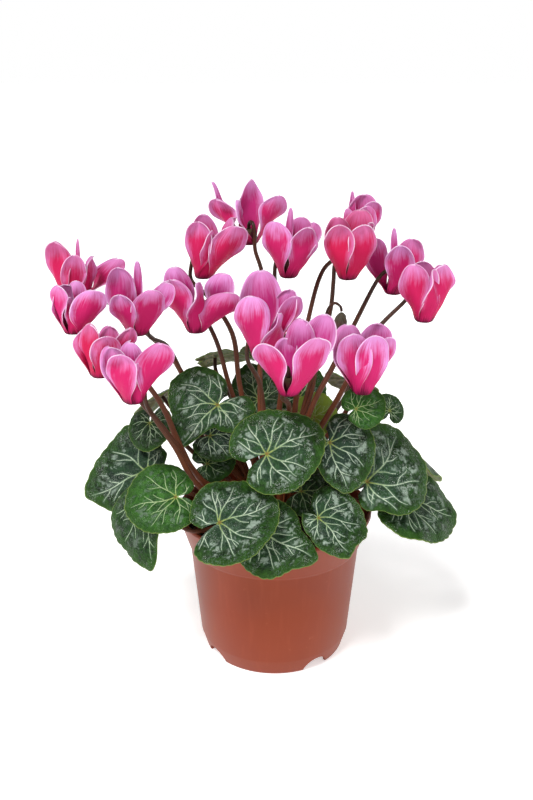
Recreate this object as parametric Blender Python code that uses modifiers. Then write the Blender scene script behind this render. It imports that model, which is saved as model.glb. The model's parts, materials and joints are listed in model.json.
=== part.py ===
"""Potted cyclamen: a grower's pot of soil, one tuber with its stalks, ivy-edged leaves and nodding blooms.

Run with: blender --background --python part.py
Metres, +Z up, origin on the floor under the middle of the plant's box. The tables are in
millimetres from the pot's axis, +X to the right and +Y away from the front.
"""

import math
from dataclasses import dataclass

import bmesh
import bpy
import numpy as np
from mathutils import Matrix, Vector

MM = 0.001
GAP = 0.3                    # clearance between touching pieces, mm
POT_AXIS = (11.0, -7.5)      # where the pot stands in the plant's box, which leans left and back, mm

# Pot, mm
RIM_RADIUS = 60.0
POT_HEIGHT = 92.5
COLLAR_HEIGHT = 22.0
COLLAR_FOOT_RADIUS = 53.4    # outer radius just above the collar's lower edge
BODY_TOP_RADIUS = 52.6
BODY_FOOT_RADIUS = 47.0
FOOT_HEIGHT = 11.0
FOOT_RADIUS = 43.5
FOOT_WIDTH = 2.4             # of the flat ring that it stands on
WALL = 1.6
FLOOR_TOP = 10.6
FLOOR_UNDERSIDE = 9.0
POT_STEPS = 36
FOOT_COUNT = 4
NOTCH_RADIUS = 9.0           # half width of the arched notch between two feet
NOTCH_SINK = 1.5             # how far under the floor the arch has its centre
NOTCH_DEPTH = 16.0           # length of its cutter, across the foot ring
NOTCH_STEPS = 14
NOTCH_TURN = math.radians(35)
DRAIN_RADIUS = 3.5
DRAIN_RING = 27.0
DRAIN_STEPS = 8

# Soil and tuber, mm
SOIL_TOP = 83.0
SOIL_STEPS = 26
FACET_CLEARANCE = 0.4        # keeps the soil's corners off the flats of the pot's wall
TUBER_RADIUS = 17.0
TUBER_TOP = 87.0
TUBER_WIDEST = 80.0
TUBER_BOTTOM = 68.0
TUBER_STEPS = 14
TUBER_ROWS = 8
CUP_CLEARANCE = 0.7          # between the tuber and the soil

# Stalks, mm
CROWN_Z = 82.0               # where every stalk starts, inside the tuber
CROWN_EXIT = 3.0             # how far over the tuber a stalk is still going straight up
PETIOLE_RING = 10.0
FLOWER_STALK_RING = 6.0
PETIOLE_RADII = (1.7, 1.25)  # at the crown, at the blade
FLOWER_STALK_RADII = (2.2, 1.1)
BUD_STALK_RADII = (1.5, 0.8)
PETIOLE_ARCH = 4.0           # how far a petiole with no stated route bows up at half way
PETIOLE_END = 9.0            # its last stretch, square to the blade
# The end of a flower stalk: (out from the nose, up from it) over the hook and down on to the calyx
BENT = ((8.4, -3.0), (7.9, 7.0), (5.6, 12.4), (2.2, 13.2), (0.3, 11.2), (0.0, 8.55))
ARCHED = ((14.0, 7.0), (10.0, 11.4), (5.6, 13.6), (2.2, 13.4), (0.3, 11.2), (0.0, 8.55))

# Blades, mm
BLADE_THICKNESS = 0.8
BLADE_ANGLES = 17            # odd, so that one falls on the tip
BLADE_RINGS = (0.52, 1.0)
BLADE_NOTCH = 12.0           # half angle of the open notch behind the junction, degrees
CRENATION = 0.02             # in and out of the scalloped margin, as a share of the radius

# Outlines: (angle from the tip in degrees, distance from the junction as a share of the length)
HEART = ((-168, 0.50), (-130, 0.60), (-90, 0.66), (-50, 0.75), (-20, 0.90), (0, 1.0),
         (20, 0.90), (50, 0.75), (90, 0.66), (130, 0.60), (168, 0.50))
ROUND = ((-168, 0.55), (-130, 0.72), (-90, 0.80), (-45, 0.88), (0, 1.0),
         (45, 0.88), (90, 0.80), (130, 0.72), (168, 0.55))
POINTED = ((-168, 0.40), (-120, 0.55), (-85, 0.66), (-45, 0.60), (-15, 0.80), (0, 1.0),
           (15, 0.80), (45, 0.60), (85, 0.66), (120, 0.55), (168, 0.40))
FAN = ((-168, 0.34), (-125, 0.46), (-81, 0.74), (-40, 0.92), (0, 1.0),
       (40, 0.84), (75, 0.70), (110, 0.58), (168, 0.34))
IVY = ((-168, 0.36), (-140, 0.55), (-112, 0.80), (-79, 0.97), (-40, 0.80), (0, 1.0),
       (16, 0.50), (32, 0.36), (62, 0.50), (90, 0.62), (125, 0.64), (168, 0.40))
ARROW = ((-168, 0.32), (-126, 0.38), (-75, 0.85), (-40, 0.80), (0, 1.0),
         (10, 0.84), (30, 0.68), (70, 0.62), (120, 0.45), (168, 0.35))
DART = ((-168, 0.40), (-103, 0.55), (-56, 0.77), (-25, 0.76), (0, 1.0),
        (25, 0.62), (52, 0.59), (100, 0.50), (168, 0.35))
FOLDED = ((-168, 0.40), (-120, 0.66), (-80, 0.82), (-45, 0.78), (-15, 0.88), (0, 1.0),
          (15, 0.60), (60, 0.30), (168, 0.30))
LOPSIDED = ((-168, 0.30), (-120, 0.42), (-80, 0.46), (-40, 0.55), (-15, 0.80), (0, 1.0),
            (30, 0.95), (76, 0.88), (110, 0.80), (135, 0.70), (168, 0.45))
SHELL = ((-168, 0.22), (-113, 0.38), (-90, 0.60), (-60, 0.85), (-30, 1.0), (0, 1.0),
         (25, 0.86), (60, 0.60), (100, 0.40), (168, 0.22))
LOBED = ((-168, 0.30), (-122, 0.32), (-60, 0.38), (-25, 0.68), (0, 1.0), (18, 0.90), (37, 1.02),
         (60, 0.95), (88, 0.87), (129, 0.74), (168, 0.40))
OVAL = ((-168, 0.45), (-130, 0.55), (-90, 0.60), (-45, 0.78), (0, 1.0),
        (45, 0.60), (90, 0.42), (130, 0.45), (168, 0.45))
KIDNEY = ((-168, 0.50), (-130, 0.68), (-90, 0.68), (-50, 0.75), (-20, 0.88), (0, 0.95),
          (20, 0.90), (50, 0.78), (90, 0.66), (130, 0.50), (168, 0.42))

# Blooms, mm
TUBE_HEIGHT = 8.0
MOUTH_RADIUS = 4.9
MOUTH_RIM = 1.3
MOUTH_DEPTH = 3.5
TUBE_STEPS = 7
CALYX_RADIUS = 3.2
PETAL_THICKNESS = 0.7
PETAL_ROWS = (0.0, 0.4, 0.74, 1.0)
PETAL_WIDTHS = (0.26, 0.56, 1.0, 0.42)   # at those rows, as a share of the widest
PETAL_HALF_WIDTH = 0.23      # widest half width as a share of the length
PETAL_ROOT = (4.4, 0.9)      # out from the nose and up from it, where a petal folds back
PETAL_BULGE = 0.09           # how far its middle bows outward, as a share of the length
PETAL_CUP = 0.22             # how far its face is cupped, as a share of the half width
TWIST_END = 0.75             # how far up a petal is done turning to its face

COLOURS = {
    "pot_plastic": ((0.44, 0.12, 0.06, 1.0), 0.42),
    "potting_soil": ((0.035, 0.022, 0.015, 1.0), 0.95),
    "stalk_skin": ((0.20, 0.06, 0.035, 1.0), 0.45),
    "leaf_skin": ((0.06, 0.13, 0.07, 1.0), 0.5),
    "petal": ((0.78, 0.10, 0.32, 1.0), 0.55),
    "bud_skin": ((0.28, 0.18, 0.14, 1.0), 0.5),
}


@dataclass(frozen=True)
class Leaf:
    """A blade: where its petiole meets it, which way it faces, and where its tip points in its plane."""

    junction: tuple
    facing: float            # azimuth of the blade's upper face, degrees
    tilt: float              # elevation of that facing, degrees
    spin: float              # tip direction in the plane, degrees up from level
    length: float            # junction to tip
    outline: tuple = HEART
    wave: float = 0.04
    via: tuple = ()          # points the petiole passes, between the crown and the blade


@dataclass(frozen=True)
class Bloom:
    """A nodding bloom: its nose, the side its stalk hooks in from, and its five turned-back petals."""

    nose: tuple
    side: float              # azimuth of the stalk beside the nose, degrees
    petals: tuple            # (azimuth, flare from upright, length, azimuth the broad face turns to)
    via: tuple = ()          # points the stalk passes, between the crown and the nose
    hook: tuple = BENT


LEAVES = (
    Leaf((-34, 0, 159), -100, 40, -126, 36, IVY, 0.04, ((-20, 11, 120),)),
    Leaf((-75, -18, 123), -115, 42, -151, 45, ARROW, 0.04, ((-40, -8, 100),)),
    Leaf((-56, -48, 121), -100, 50, -165, 31, FAN),
    Leaf((-75, -45, 112), -134, 22, -65, 36, FOLDED, 0.02, ((-48, -39, 95),)),
    Leaf((-31, -66, 114), -95, 52, 33, 37, KIDNEY),
    Leaf((-8, -56, 105), -88, 38, -28, 37, DART),
    Leaf((-5, -47, 147), -85, 42, 25, 37),
    Leaf((31, -30, 147), -75, 38, -81, 31, LOPSIDED, 0.04, ((26, -6, 120),)),
    Leaf((53, -30, 122), -60, 40, 33, 48, SHELL),
    Leaf((79, -14, 103), -45, 50, -35, 41),
    Leaf((24, -54, 111), -80, 50, -62, 29, LOBED, 0.05),
    Leaf((46, -26, 166), -90, 30, 23, 18, FAN, 0.04, ((38, 2, 142), (45, -9, 156))),
    Leaf((-39, -4, 141), -95, 30, -1, 24, OVAL, 0.04, ((-22, 9, 118),)),
    Leaf((-74, -9, 151), -120, 40, -71, 18, ROUND, 0.04, ((-38, 8, 112), (-58, 3, 135))),
    Leaf((-41, -5, 123), -90, 25, 10, 18),
    Leaf((-10, 35, 150), -95, 35, 110, 26),
    Leaf((-38, 48, 174), 100, 60, 170, 26, HEART, 0.04, ((-24, 44, 140),)),
    Leaf((-8, 62, 172), 85, 55, 150, 26),
    Leaf((25, 24, 142), -90, 40, 80, 18, ROUND),
    Leaf((72, 25, 146), -60, 40, 60, 13, ROUND),
    Leaf((16, 40, 150), -85, 40, 60, 24),
    Leaf((15, -30, 116), -80, 62, 10, 26),
    Leaf((-72, 42, 150), 150, 45, -80, 28, ROUND),
    Leaf((-50, 56, 128), 130, 45, -90, 36, POINTED),
    Leaf((-24, 78, 108), 105, 45, -75, 34, ROUND),
    Leaf((10, 66, 130), 80, 45, -100, 34),
    Leaf((54, 60, 112), 48, 45, -90, 38, POINTED),
    Leaf((87, 28, 118), 20, 45, -85, 33),
    Leaf((-88, 26, 112), 165, 40, -100, 36, POINTED),
    Leaf((50, 55, 155), 55, 50, -90, 28),
)

BLOOMS = (
    Bloom((-119, 10, 219), 60,
          ((-140, 8, 36, -110), (-75, 20, 32, -80), (-25, 25, 30, 5),
           (10, 38, 34, 50), (110, 8, 35, 20)),
          ((-40, 16, 130), (-61, 21, 180), (-76, 19, 197), (-96, 15, 216)), ARCHED),
    Bloom((-113, -22, 211), 32,
          ((-130, 12, 27, -105), (-75, 30, 22, -80), (-20, 28, 27, -60),
           (85, 18, 26, 85), (165, 15, 26, 140)),
          ((-44, -18, 118), (-55, -24, 142), (-66, -28, 172), (-90, -20, 199))),
    Bloom((-97, -36, 190), 48,
          ((-140, 12, 30, -100), (-60, 20, 26, -80), (-5, 25, 26, 20),
           (100, 15, 27, 95), (165, 18, 26, 130)),
          ((-38, -18, 112), (-59, -32, 150), (-76, -38, 176))),
    Bloom((-79, -8, 206), 50,
          ((160, 15, 38, 95), (100, 12, 38, 5), (-50, 22, 30, -72),
           (-120, 25, 27, -95), (0, 32, 32, 70)),
          ((-42, 24, 137), (-57, 25, 170), (-65, 14, 192))),
    Bloom((-76, -59, 183), 47,
          ((-125, 12, 30, -105), (-65, 20, 29, -78), (-5, 28, 35, -65),
           (100, 15, 31, 90), (155, 18, 28, 110)),
          ((-43, -26, 116), (-57, -38, 148), (-67, -45, 168))),
    Bloom((-47, 12, 202), 75,
          ((-150, 20, 33, -105), (150, 15, 38, 100), (-80, 20, 32, -8),
           (-20, 35, 31, -75), (20, 28, 35, 80)),
          ((-16, 10, 130), (-28, 18, 166), (-35, 20, 192)), ARCHED),
    Bloom((-43, 29, 231), 155,
          ((-130, 8, 33, -105), (-75, 18, 30, -85), (-15, 25, 37, -70),
           (30, 22, 36, 15), (78, 10, 35, 85)),
          ((-14, 14, 130), (-22, 24, 166), (-26, 27, 196), (-40, 32, 217))),
    Bloom((-16, 58, 246), -62,
          ((-175, 32, 28, -110), (150, 35, 36, 60), (-122, 10, 31, 175),
           (85, 10, 37, 75), (0, 25, 32, -68)),
          ((-8, 8, 130), (-9, 22, 173), (-8, 38, 206), (-8, 46, 230))),
    Bloom((8, 22, 233), 162,
          ((-130, 12, 33, -100), (-65, 18, 31, -80), (5, 20, 32, 60),
           (48, 15, 33, 60), (95, 8, 39, 5)),
          ((0, 6, 130), (4, 12, 165), (5, 18, 203))),
    Bloom((-8, -20, 196), 160,
          ((-120, 12, 36, -100), (-55, 24, 31, -5), (-5, 22, 36, -70),
           (42, 18, 37, 70), (85, 8, 44, 95)),
          ((-4, -4, 130), (-9, -10, 176))),
    Bloom((7, -52, 185), 155,
          ((-140, 20, 32, -105), (-35, 22, 36, -75), (15, 24, 40, 75),
           (55, 18, 38, 85), (92, 15, 27, 90)),
          ((4, -8, 130), (8, -20, 165), (4, -38, 177))),
    Bloom((51, 50, 245), 168,
          ((110, 8, 33, 20), (60, 12, 35, 85), (0, 15, 30, -70),
           (-75, 15, 26, -75), (-135, 15, 24, -150)),
          ((10, 8, 125), (14, 17, 165), (21, 28, 207), (30, 40, 233))),
    Bloom((42, 8, 235), 160,
          ((-150, 15, 32, -100), (110, 8, 32, 100), (-95, 15, 33, -60),
           (-35, 18, 31, -80), (50, 15, 38, 85)),
          ((12, 5, 125), (18, 3, 158), (28, 10, 194), (33, 13, 215))),
    Bloom((71, 22, 223), 212,
          ((155, 18, 31, 110), (85, 10, 37, 0), (35, 18, 33, 60),
           (-15, 15, 32, -62), (-80, 18, 31, -85)),
          ((14, -2, 130), (22, -3, 159), (34, 6, 180), (47, 15, 204)), ARCHED),
    Bloom((85, -8, 214), 152,
          ((-140, 16, 34, -95), (-80, 18, 32, 0), (-20, 15, 34, -65),
           (40, 15, 34, 55), (85, 12, 33, 90)),
          ((20, 3, 128), (38, 6, 161), (47, 0, 183), (59, -6, 208)), ARCHED),
    Bloom((49, -30, 178), 85,
          ((155, 16, 34, 105), (-125, 15, 35, -82), (-70, 12, 34, -70),
           (-20, 16, 33, -60), (18, 18, 35, 60)),
          ((16, -3, 120), (38, -6, 150), (48, -8, 171)), ARCHED),
)

BUD_TOP = (38, -8, 220)
BUD_LENGTH = 13.0
BUD_RADIUS = 3.4
BUD_STALK = ((10, 0, 130), (22, 0, 167), (28, -5, 202), (32, -8, 219), (34.4, -8, 224.6), (37.0, -8, 224.4))


def clear_scene():
    """Remove every object of the scene."""
    for thing in list(bpy.data.objects):
        bpy.data.objects.remove(thing, do_unlink=True)


def make_collection(name):
    """Add a named collection to the scene."""
    collection = bpy.data.collections.new(name)
    bpy.context.scene.collection.children.link(collection)
    return collection


def make_material(name):
    """A Principled material with the slot's colour and roughness."""
    material = bpy.data.materials.new(name)
    material.use_nodes = True
    shader = material.node_tree.nodes["Principled BSDF"]
    colour, roughness = COLOURS[name]
    shader.inputs["Base Color"].default_value = colour
    shader.inputs["Roughness"].default_value = roughness
    return material


def add_object(name, mesh, collection, material=None):
    """Link a mesh as a named object."""
    thing = bpy.data.objects.new(name, mesh)
    if material:
        mesh.materials.clear()
        mesh.materials.append(material)
    collection.objects.link(thing)
    return thing


def mesh_from_bmesh(name, bm):
    """Turn a bmesh in millimetres into a mesh in metres."""
    bmesh.ops.scale(bm, vec=(MM, MM, MM), verts=bm.verts)
    mesh = bpy.data.meshes.new(name)
    bm.to_mesh(mesh)
    bm.free()
    return mesh


def evaluated_mesh(thing):
    """The object's mesh with its modifiers, as the viewport sees it."""
    graph = bpy.context.evaluated_depsgraph_get()
    return bpy.data.meshes.new_from_object(thing.evaluated_get(graph))


def apply_modifiers(thing):
    """Replace the object's mesh by its evaluated one and drop its modifiers."""
    mesh = evaluated_mesh(thing)
    thing.modifiers.clear()
    thing.data = mesh


def smooth(thing):
    """Shade smooth, sharp past 40 degrees."""
    thing.data.shade_smooth()
    thing.data.set_sharp_from_angle(angle=math.radians(40))


def turned(name, profile, steps, collection, material):
    """A solid of revolution from (radius, height) points that end on the axis or meet again."""
    mesh = bpy.data.meshes.new(name)
    points = [(radius * MM, 0.0, height * MM) for radius, height in profile]
    mesh.from_pydata(points, [(i, i + 1) for i in range(len(points) - 1)], [])
    thing = add_object(name, mesh, collection, material)
    screw = thing.modifiers.new("turn", "SCREW")
    screw.steps = screw.render_steps = steps
    screw.use_merge_vertices = True
    screw.merge_threshold = 0.00001
    apply_modifiers(thing)
    return thing


def boolean(thing, operation, collection):
    """Join or cut with every object of a collection at once, then remove those objects."""
    step = thing.modifiers.new(operation.lower(), "BOOLEAN")
    step.operation = operation
    step.operand_type = "COLLECTION"
    step.collection = collection
    bpy.context.view_layer.update()
    apply_modifiers(thing)
    for operand in list(collection.objects):
        bpy.data.objects.remove(operand, do_unlink=True)


def direction(azimuth, elevation=0.0):
    """Unit vector at an azimuth and an elevation in degrees."""
    a, e = math.radians(azimuth), math.radians(elevation)
    return Vector((math.cos(a) * math.cos(e), math.sin(a) * math.cos(e), math.sin(e)))


def smooth_route(points, per_span):
    """Points along a Catmull-Rom curve through the given ones, so many in each span.

    The curve's knots are spaced by the root of the distance, which keeps it from overshooting.
    """
    pts = np.array([tuple(p) for p in points], dtype=float)
    pts = np.vstack([2 * pts[0] - pts[1], pts, 2 * pts[-1] - pts[-2]])
    knots = np.concatenate([[0], np.cumsum(np.sqrt(np.linalg.norm(np.diff(pts, axis=0), axis=1)))])
    route = []
    for k in range(1, len(pts) - 2):
        t0, t1, t2, t3 = knots[k - 1:k + 3]
        for t in np.linspace(t1, t2, per_span[k - 1], endpoint=False):
            a1 = (t1 - t) / (t1 - t0) * pts[k - 1] + (t - t0) / (t1 - t0) * pts[k]
            a2 = (t2 - t) / (t2 - t1) * pts[k] + (t - t1) / (t2 - t1) * pts[k + 1]
            a3 = (t3 - t) / (t3 - t2) * pts[k + 1] + (t - t2) / (t3 - t2) * pts[k + 2]
            b1 = (t2 - t) / (t2 - t0) * a1 + (t - t0) / (t2 - t0) * a2
            b2 = (t3 - t) / (t3 - t1) * a2 + (t - t1) / (t3 - t1) * a3
            route.append((t2 - t) / (t2 - t1) * b1 + (t - t1) / (t2 - t1) * b2)
    route.append(pts[-2])
    return route


# ---------------------------------------------------------------- pot

def pot_outer_radius(z):
    """Outer radius of the pot's wall at a height."""
    collar_foot = POT_HEIGHT - COLLAR_HEIGHT
    if z >= collar_foot:
        share = (z - collar_foot) / COLLAR_HEIGHT
        return COLLAR_FOOT_RADIUS + (RIM_RADIUS - COLLAR_FOOT_RADIUS) * share
    share = (z - FOOT_HEIGHT) / (collar_foot - FOOT_HEIGHT)
    return BODY_FOOT_RADIUS + (BODY_TOP_RADIUS - BODY_FOOT_RADIUS) * share


def add_cutter(name, radius, depth, steps, place, cutters):
    """A round cutter in its collection."""
    bm = bmesh.new()
    bmesh.ops.create_cone(bm, cap_ends=True, segments=steps, radius1=radius, radius2=radius,
                          depth=depth, matrix=place)
    add_object(name, mesh_from_bmesh(name, bm), cutters)


def make_pot(collection, material, cutters):
    """A thin turned pot: flared collar, tapered body, notched foot ring, drained floor."""
    collar_foot = POT_HEIGHT - COLLAR_HEIGHT
    inner = [(pot_outer_radius(z) - WALL, z) for z in (FLOOR_TOP, collar_foot, POT_HEIGHT - 2.0)]
    profile = [(0, FLOOR_TOP)] + inner + [
        (RIM_RADIUS - WALL, POT_HEIGHT),
        (RIM_RADIUS - 0.4, POT_HEIGHT),
        (RIM_RADIUS, POT_HEIGHT - 0.8),
        (RIM_RADIUS - 0.6, POT_HEIGHT - 2.6),
        (COLLAR_FOOT_RADIUS, collar_foot + 1.0),
        (BODY_TOP_RADIUS, collar_foot - 0.6),
        (BODY_FOOT_RADIUS, FOOT_HEIGHT),
        (FOOT_RADIUS, 0),
        (FOOT_RADIUS - FOOT_WIDTH, 0),
        (FOOT_RADIUS - 1.0, FLOOR_UNDERSIDE),
        (0, FLOOR_UNDERSIDE),
    ]
    pot = turned("pot", profile, POT_STEPS, collection, material)
    for k in range(FOOT_COUNT):
        azimuth = NOTCH_TURN + k * math.tau / FOOT_COUNT
        outward = Vector((math.cos(azimuth), math.sin(azimuth), 0))
        turn = outward.to_track_quat("Z", "Y").to_matrix().to_4x4()
        notch_place = Matrix.Translation(outward * FOOT_RADIUS - Vector((0, 0, NOTCH_SINK))) @ turn
        add_cutter("notch", NOTCH_RADIUS, NOTCH_DEPTH, NOTCH_STEPS, notch_place, cutters)
        drain_place = Matrix.Translation(outward * DRAIN_RING + Vector((0, 0, FLOOR_UNDERSIDE)))
        add_cutter("drain", DRAIN_RADIUS, FLOOR_UNDERSIDE - 1, DRAIN_STEPS, drain_place, cutters)
    boolean(pot, "DIFFERENCE", cutters)
    smooth(pot)
    return pot


# ---------------------------------------------------------------- soil and tuber

def tuber_profile(grow=0.0):
    """(radius, height) down the flattened tuber, from its top to its bottom, grown by a clearance."""
    profile = []
    for k in range(TUBER_ROWS + 1):
        angle = math.pi * k / TUBER_ROWS
        height = TUBER_TOP - TUBER_WIDEST if angle < math.pi / 2 else TUBER_WIDEST - TUBER_BOTTOM
        profile.append(((TUBER_RADIUS + grow) * math.sin(angle),
                        TUBER_WIDEST + (height + grow) * math.cos(angle)))
    profile[0] = (0, profile[0][1])
    profile[-1] = (0, profile[-1][1])
    return profile


def soil_relief(x, y):
    """Height of the crumbly surface above its mean level at a place, mm."""
    return (0.9 * math.sin(0.31 * x + 1.3) * math.cos(0.27 * y)
            + 0.6 * math.sin(0.53 * y - 0.21 * x + 0.4) - 0.5)


def make_soil(collection, material):
    """The filled body of soil: uneven on top, cupped round the tuber, just clear of the pot."""
    cup = [point for point in reversed(tuber_profile(CUP_CLEARANCE)) if point[1] < TUBER_WIDEST + 0.1]
    cup_radius = TUBER_RADIUS + CUP_CLEARANCE
    clear = WALL + GAP + FACET_CLEARANCE
    collar_foot = POT_HEIGHT - COLLAR_HEIGHT
    profile = cup + [(cup_radius + 0.3, SOIL_TOP)]
    edge = pot_outer_radius(SOIL_TOP - 2) - clear
    profile += [(cup_radius + (edge - cup_radius) * share, SOIL_TOP) for share in (0.25, 0.5, 0.75)]
    profile += [(edge, SOIL_TOP), (pot_outer_radius(collar_foot) - clear, collar_foot),
                (pot_outer_radius(FLOOR_TOP) - clear - 0.5, FLOOR_TOP + GAP), (0, FLOOR_TOP + GAP)]
    soil = turned("soil", profile, SOIL_STEPS, collection, material)
    for vertex in soil.data.vertices:
        x, y, z = (value / MM for value in vertex.co)
        if z > SOIL_TOP - 1 and math.hypot(x, y) > cup_radius + 1:
            vertex.co.z += soil_relief(x, y) * MM
    smooth(soil)
    return soil


def make_tube(name, route, radii, collection, roundness=1):
    """A tapering stalk: a poly curve with a round bevel and filled caps, as a welded mesh."""
    curve = bpy.data.curves.new(name, "CURVE")
    curve.dimensions = "3D"
    curve.bevel_depth = MM
    curve.bevel_resolution = roundness
    curve.use_fill_caps = True
    spline = curve.splines.new("POLY")
    spline.points.add(len(route) - 1)
    for k, (point, place) in enumerate(zip(spline.points, route)):
        share = k / (len(route) - 1)
        point.co = (*(value * MM for value in place), 1.0)
        point.radius = radii[0] + (radii[1] - radii[0]) * share
    guide = bpy.data.objects.new(name, curve)
    collection.objects.link(guide)
    bpy.context.view_layer.update()
    mesh = evaluated_mesh(guide)
    bm = bmesh.new()
    bm.from_mesh(mesh)
    bmesh.ops.remove_doubles(bm, verts=bm.verts, dist=0.000001)
    bm.to_mesh(mesh)
    bm.free()
    tube = bpy.data.objects.new(name, mesh)
    tube.matrix_world = guide.matrix_world
    collection.objects.link(tube)
    bpy.data.objects.remove(guide, do_unlink=True)
    return tube


def crown_start(target, ring):
    """Two points where a stalk leaves the tuber's crown towards its target."""
    azimuth = math.degrees(math.atan2(target[1], target[0]))
    foot = direction(azimuth) * ring
    return [foot + Vector((0, 0, CROWN_Z)), foot * 1.15 + Vector((0, 0, TUBER_TOP + CROWN_EXIT))]


def petiole_route(leaf):
    """From the crown, arching out, to just under the blade's junction, square to the blade."""
    junction = Vector(leaf.junction)
    normal = direction(leaf.facing, leaf.tilt)
    start = crown_start(leaf.via[0] if leaf.via else junction, PETIOLE_RING)
    middle = [Vector(point) for point in leaf.via]
    if not middle:
        middle = [start[1].lerp(junction, 0.5) + Vector((0, 0, PETIOLE_ARCH))]
    under = BLADE_THICKNESS / 2 + GAP + 0.25
    end = [junction - normal * PETIOLE_END, junction - normal * under]
    return smooth_route(start + middle + end, [1] + [2] * (len(middle) + 1) + [1])


def bloom_stalk_route(bloom):
    """From the crown up past the nose, hooked over between two petals and down on to the calyx."""
    nose = Vector(bloom.nose)
    side = direction(bloom.side)
    up = Vector((0, 0, 1))
    start = crown_start(bloom.via[0], FLOWER_STALK_RING)
    end = [nose + side * out + up * rise for out, rise in bloom.hook]
    spans = [1, 2] + [1] * (len(bloom.via) + len(bloom.hook) - 1)
    return smooth_route(start + [Vector(point) for point in bloom.via] + end, spans)


def make_tuber_with_stalks(collection, material, joins):
    """The tuber and every stalk that grows from it, one body."""
    tuber = turned("tuber_with_stalks", tuber_profile(), TUBER_STEPS, collection, material)
    for leaf in LEAVES:
        make_tube("petiole", petiole_route(leaf), PETIOLE_RADII, joins, 0)
    for bloom in BLOOMS:
        make_tube("flower_stalk", bloom_stalk_route(bloom), FLOWER_STALK_RADII, joins)
    bud_points = crown_start(BUD_STALK[0], FLOWER_STALK_RING) + [Vector(point) for point in BUD_STALK]
    bud_points.append(Vector(BUD_TOP) + Vector((0, 0, GAP + 0.1)))
    bud_spans = [1, 2, 2] + [1] * (len(bud_points) - 4)
    make_tube("bud_stalk", smooth_route(bud_points, bud_spans), BUD_STALK_RADII, joins)
    boolean(tuber, "UNION", joins)
    smooth(tuber)
    return tuber


# ---------------------------------------------------------------- leaves

def blade_radius(leaf, angle, tooth):
    """Distance from the junction to the margin at an angle from the tip in degrees, with its scallop."""
    angles, shares = zip(*leaf.outline)
    return leaf.length * float(np.interp(angle, angles, shares)) * (1 + CRENATION * tooth)


def blade_height(leaf, angle, reach):
    """Height of the surface above the blade's plane: bowed back, a shallow fold, waves at the margin."""
    phase = leaf.junction[0] * 0.7 + leaf.junction[1] * 0.4
    turn = math.radians(angle)
    bow = -0.10 * reach ** 2 + 0.05 * reach * abs(math.sin(turn))
    return leaf.length * (bow + leaf.wave * reach ** 2 * math.sin(3 * turn + phase))


def make_leaf(name, leaf, collection, material):
    """One blade: rings of points round the junction, open at the notch, thickened alike on both faces."""
    normal = direction(leaf.facing, leaf.tilt)
    level = direction(leaf.facing + 90)
    uphill = normal.cross(level)
    spin = math.radians(leaf.spin)
    ahead = level * math.cos(spin) + uphill * math.sin(spin)
    across = normal.cross(ahead)
    bm = bmesh.new()
    bmesh.ops.create_grid(bm, x_segments=BLADE_ANGLES - 1, y_segments=len(BLADE_RINGS), size=0.5)
    for vertex in bm.verts:
        column = round((vertex.co.x + 0.5) * (BLADE_ANGLES - 1))
        ring = round((vertex.co.y + 0.5) * len(BLADE_RINGS))
        angle = (180 - BLADE_NOTCH) * (2 * column / (BLADE_ANGLES - 1) - 1)
        reach = (0.0, *BLADE_RINGS)[ring]
        radius = blade_radius(leaf, angle, 1 if column % 2 else -1) * reach
        turn = math.radians(angle)
        vertex.co = (Vector(leaf.junction) + ahead * radius * math.cos(turn)
                     + across * radius * math.sin(turn) + normal * blade_height(leaf, angle, reach))
    bmesh.ops.remove_doubles(bm, verts=bm.verts, dist=0.001)
    bmesh.ops.triangulate(bm, faces=bm.faces)
    thing = add_object(name, mesh_from_bmesh(name, bm), collection, material)
    shell = thing.modifiers.new("thickness", "SOLIDIFY")
    shell.thickness = BLADE_THICKNESS * MM
    shell.offset = 0
    apply_modifiers(thing)
    smooth(thing)
    return thing


# ---------------------------------------------------------------- blooms

def petal_point(nose, petal, u, s):
    """A point of the petal: u from the mouth's edge (0) to the tip (1), s across it (-1 to 1)."""
    azimuth, flare, length, face = petal
    outward, along = direction(azimuth), direction(azimuth + 90)
    up = Vector((0, 0, 1))
    lean = math.radians(flare)
    run = outward * math.sin(lean) + up * math.cos(lean)
    bulge = outward * math.cos(lean) - up * math.sin(lean)
    root = nose + outward * PETAL_ROOT[0] + up * PETAL_ROOT[1]
    middle = root + run * length * u + bulge * length * PETAL_BULGE * math.sin(math.pi * u)
    turn = math.radians((face - azimuth + 180) % 360 - 180) * min(u / TWIST_END, 1.0) ** 1.3
    across = along * math.cos(turn) - outward * math.sin(turn)
    plane = outward * math.cos(turn) + along * math.sin(turn)
    half = PETAL_HALF_WIDTH * length * float(np.interp(u, PETAL_ROWS, PETAL_WIDTHS))
    return middle + across * half * s + plane * half * PETAL_CUP * (1 - s * s)


def make_petal(nose, petal, collection):
    """One petal, folded back over the mouth's edge, twisted and thickened."""
    rows = len(PETAL_ROWS) - 1
    bm = bmesh.new()
    bmesh.ops.create_grid(bm, x_segments=2, y_segments=rows, size=0.5)
    for vertex in bm.verts:
        s = round(vertex.co.x * 2)
        u = PETAL_ROWS[round((vertex.co.y + 0.5) * rows)]
        vertex.co = petal_point(nose, petal, u, s)
    bmesh.ops.triangulate(bm, faces=bm.faces)
    thing = add_object("petal", mesh_from_bmesh("petal", bm), collection)
    shell = thing.modifiers.new("thickness", "SOLIDIFY")
    shell.thickness = PETAL_THICKNESS * MM
    shell.offset = 0
    apply_modifiers(thing)


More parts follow.
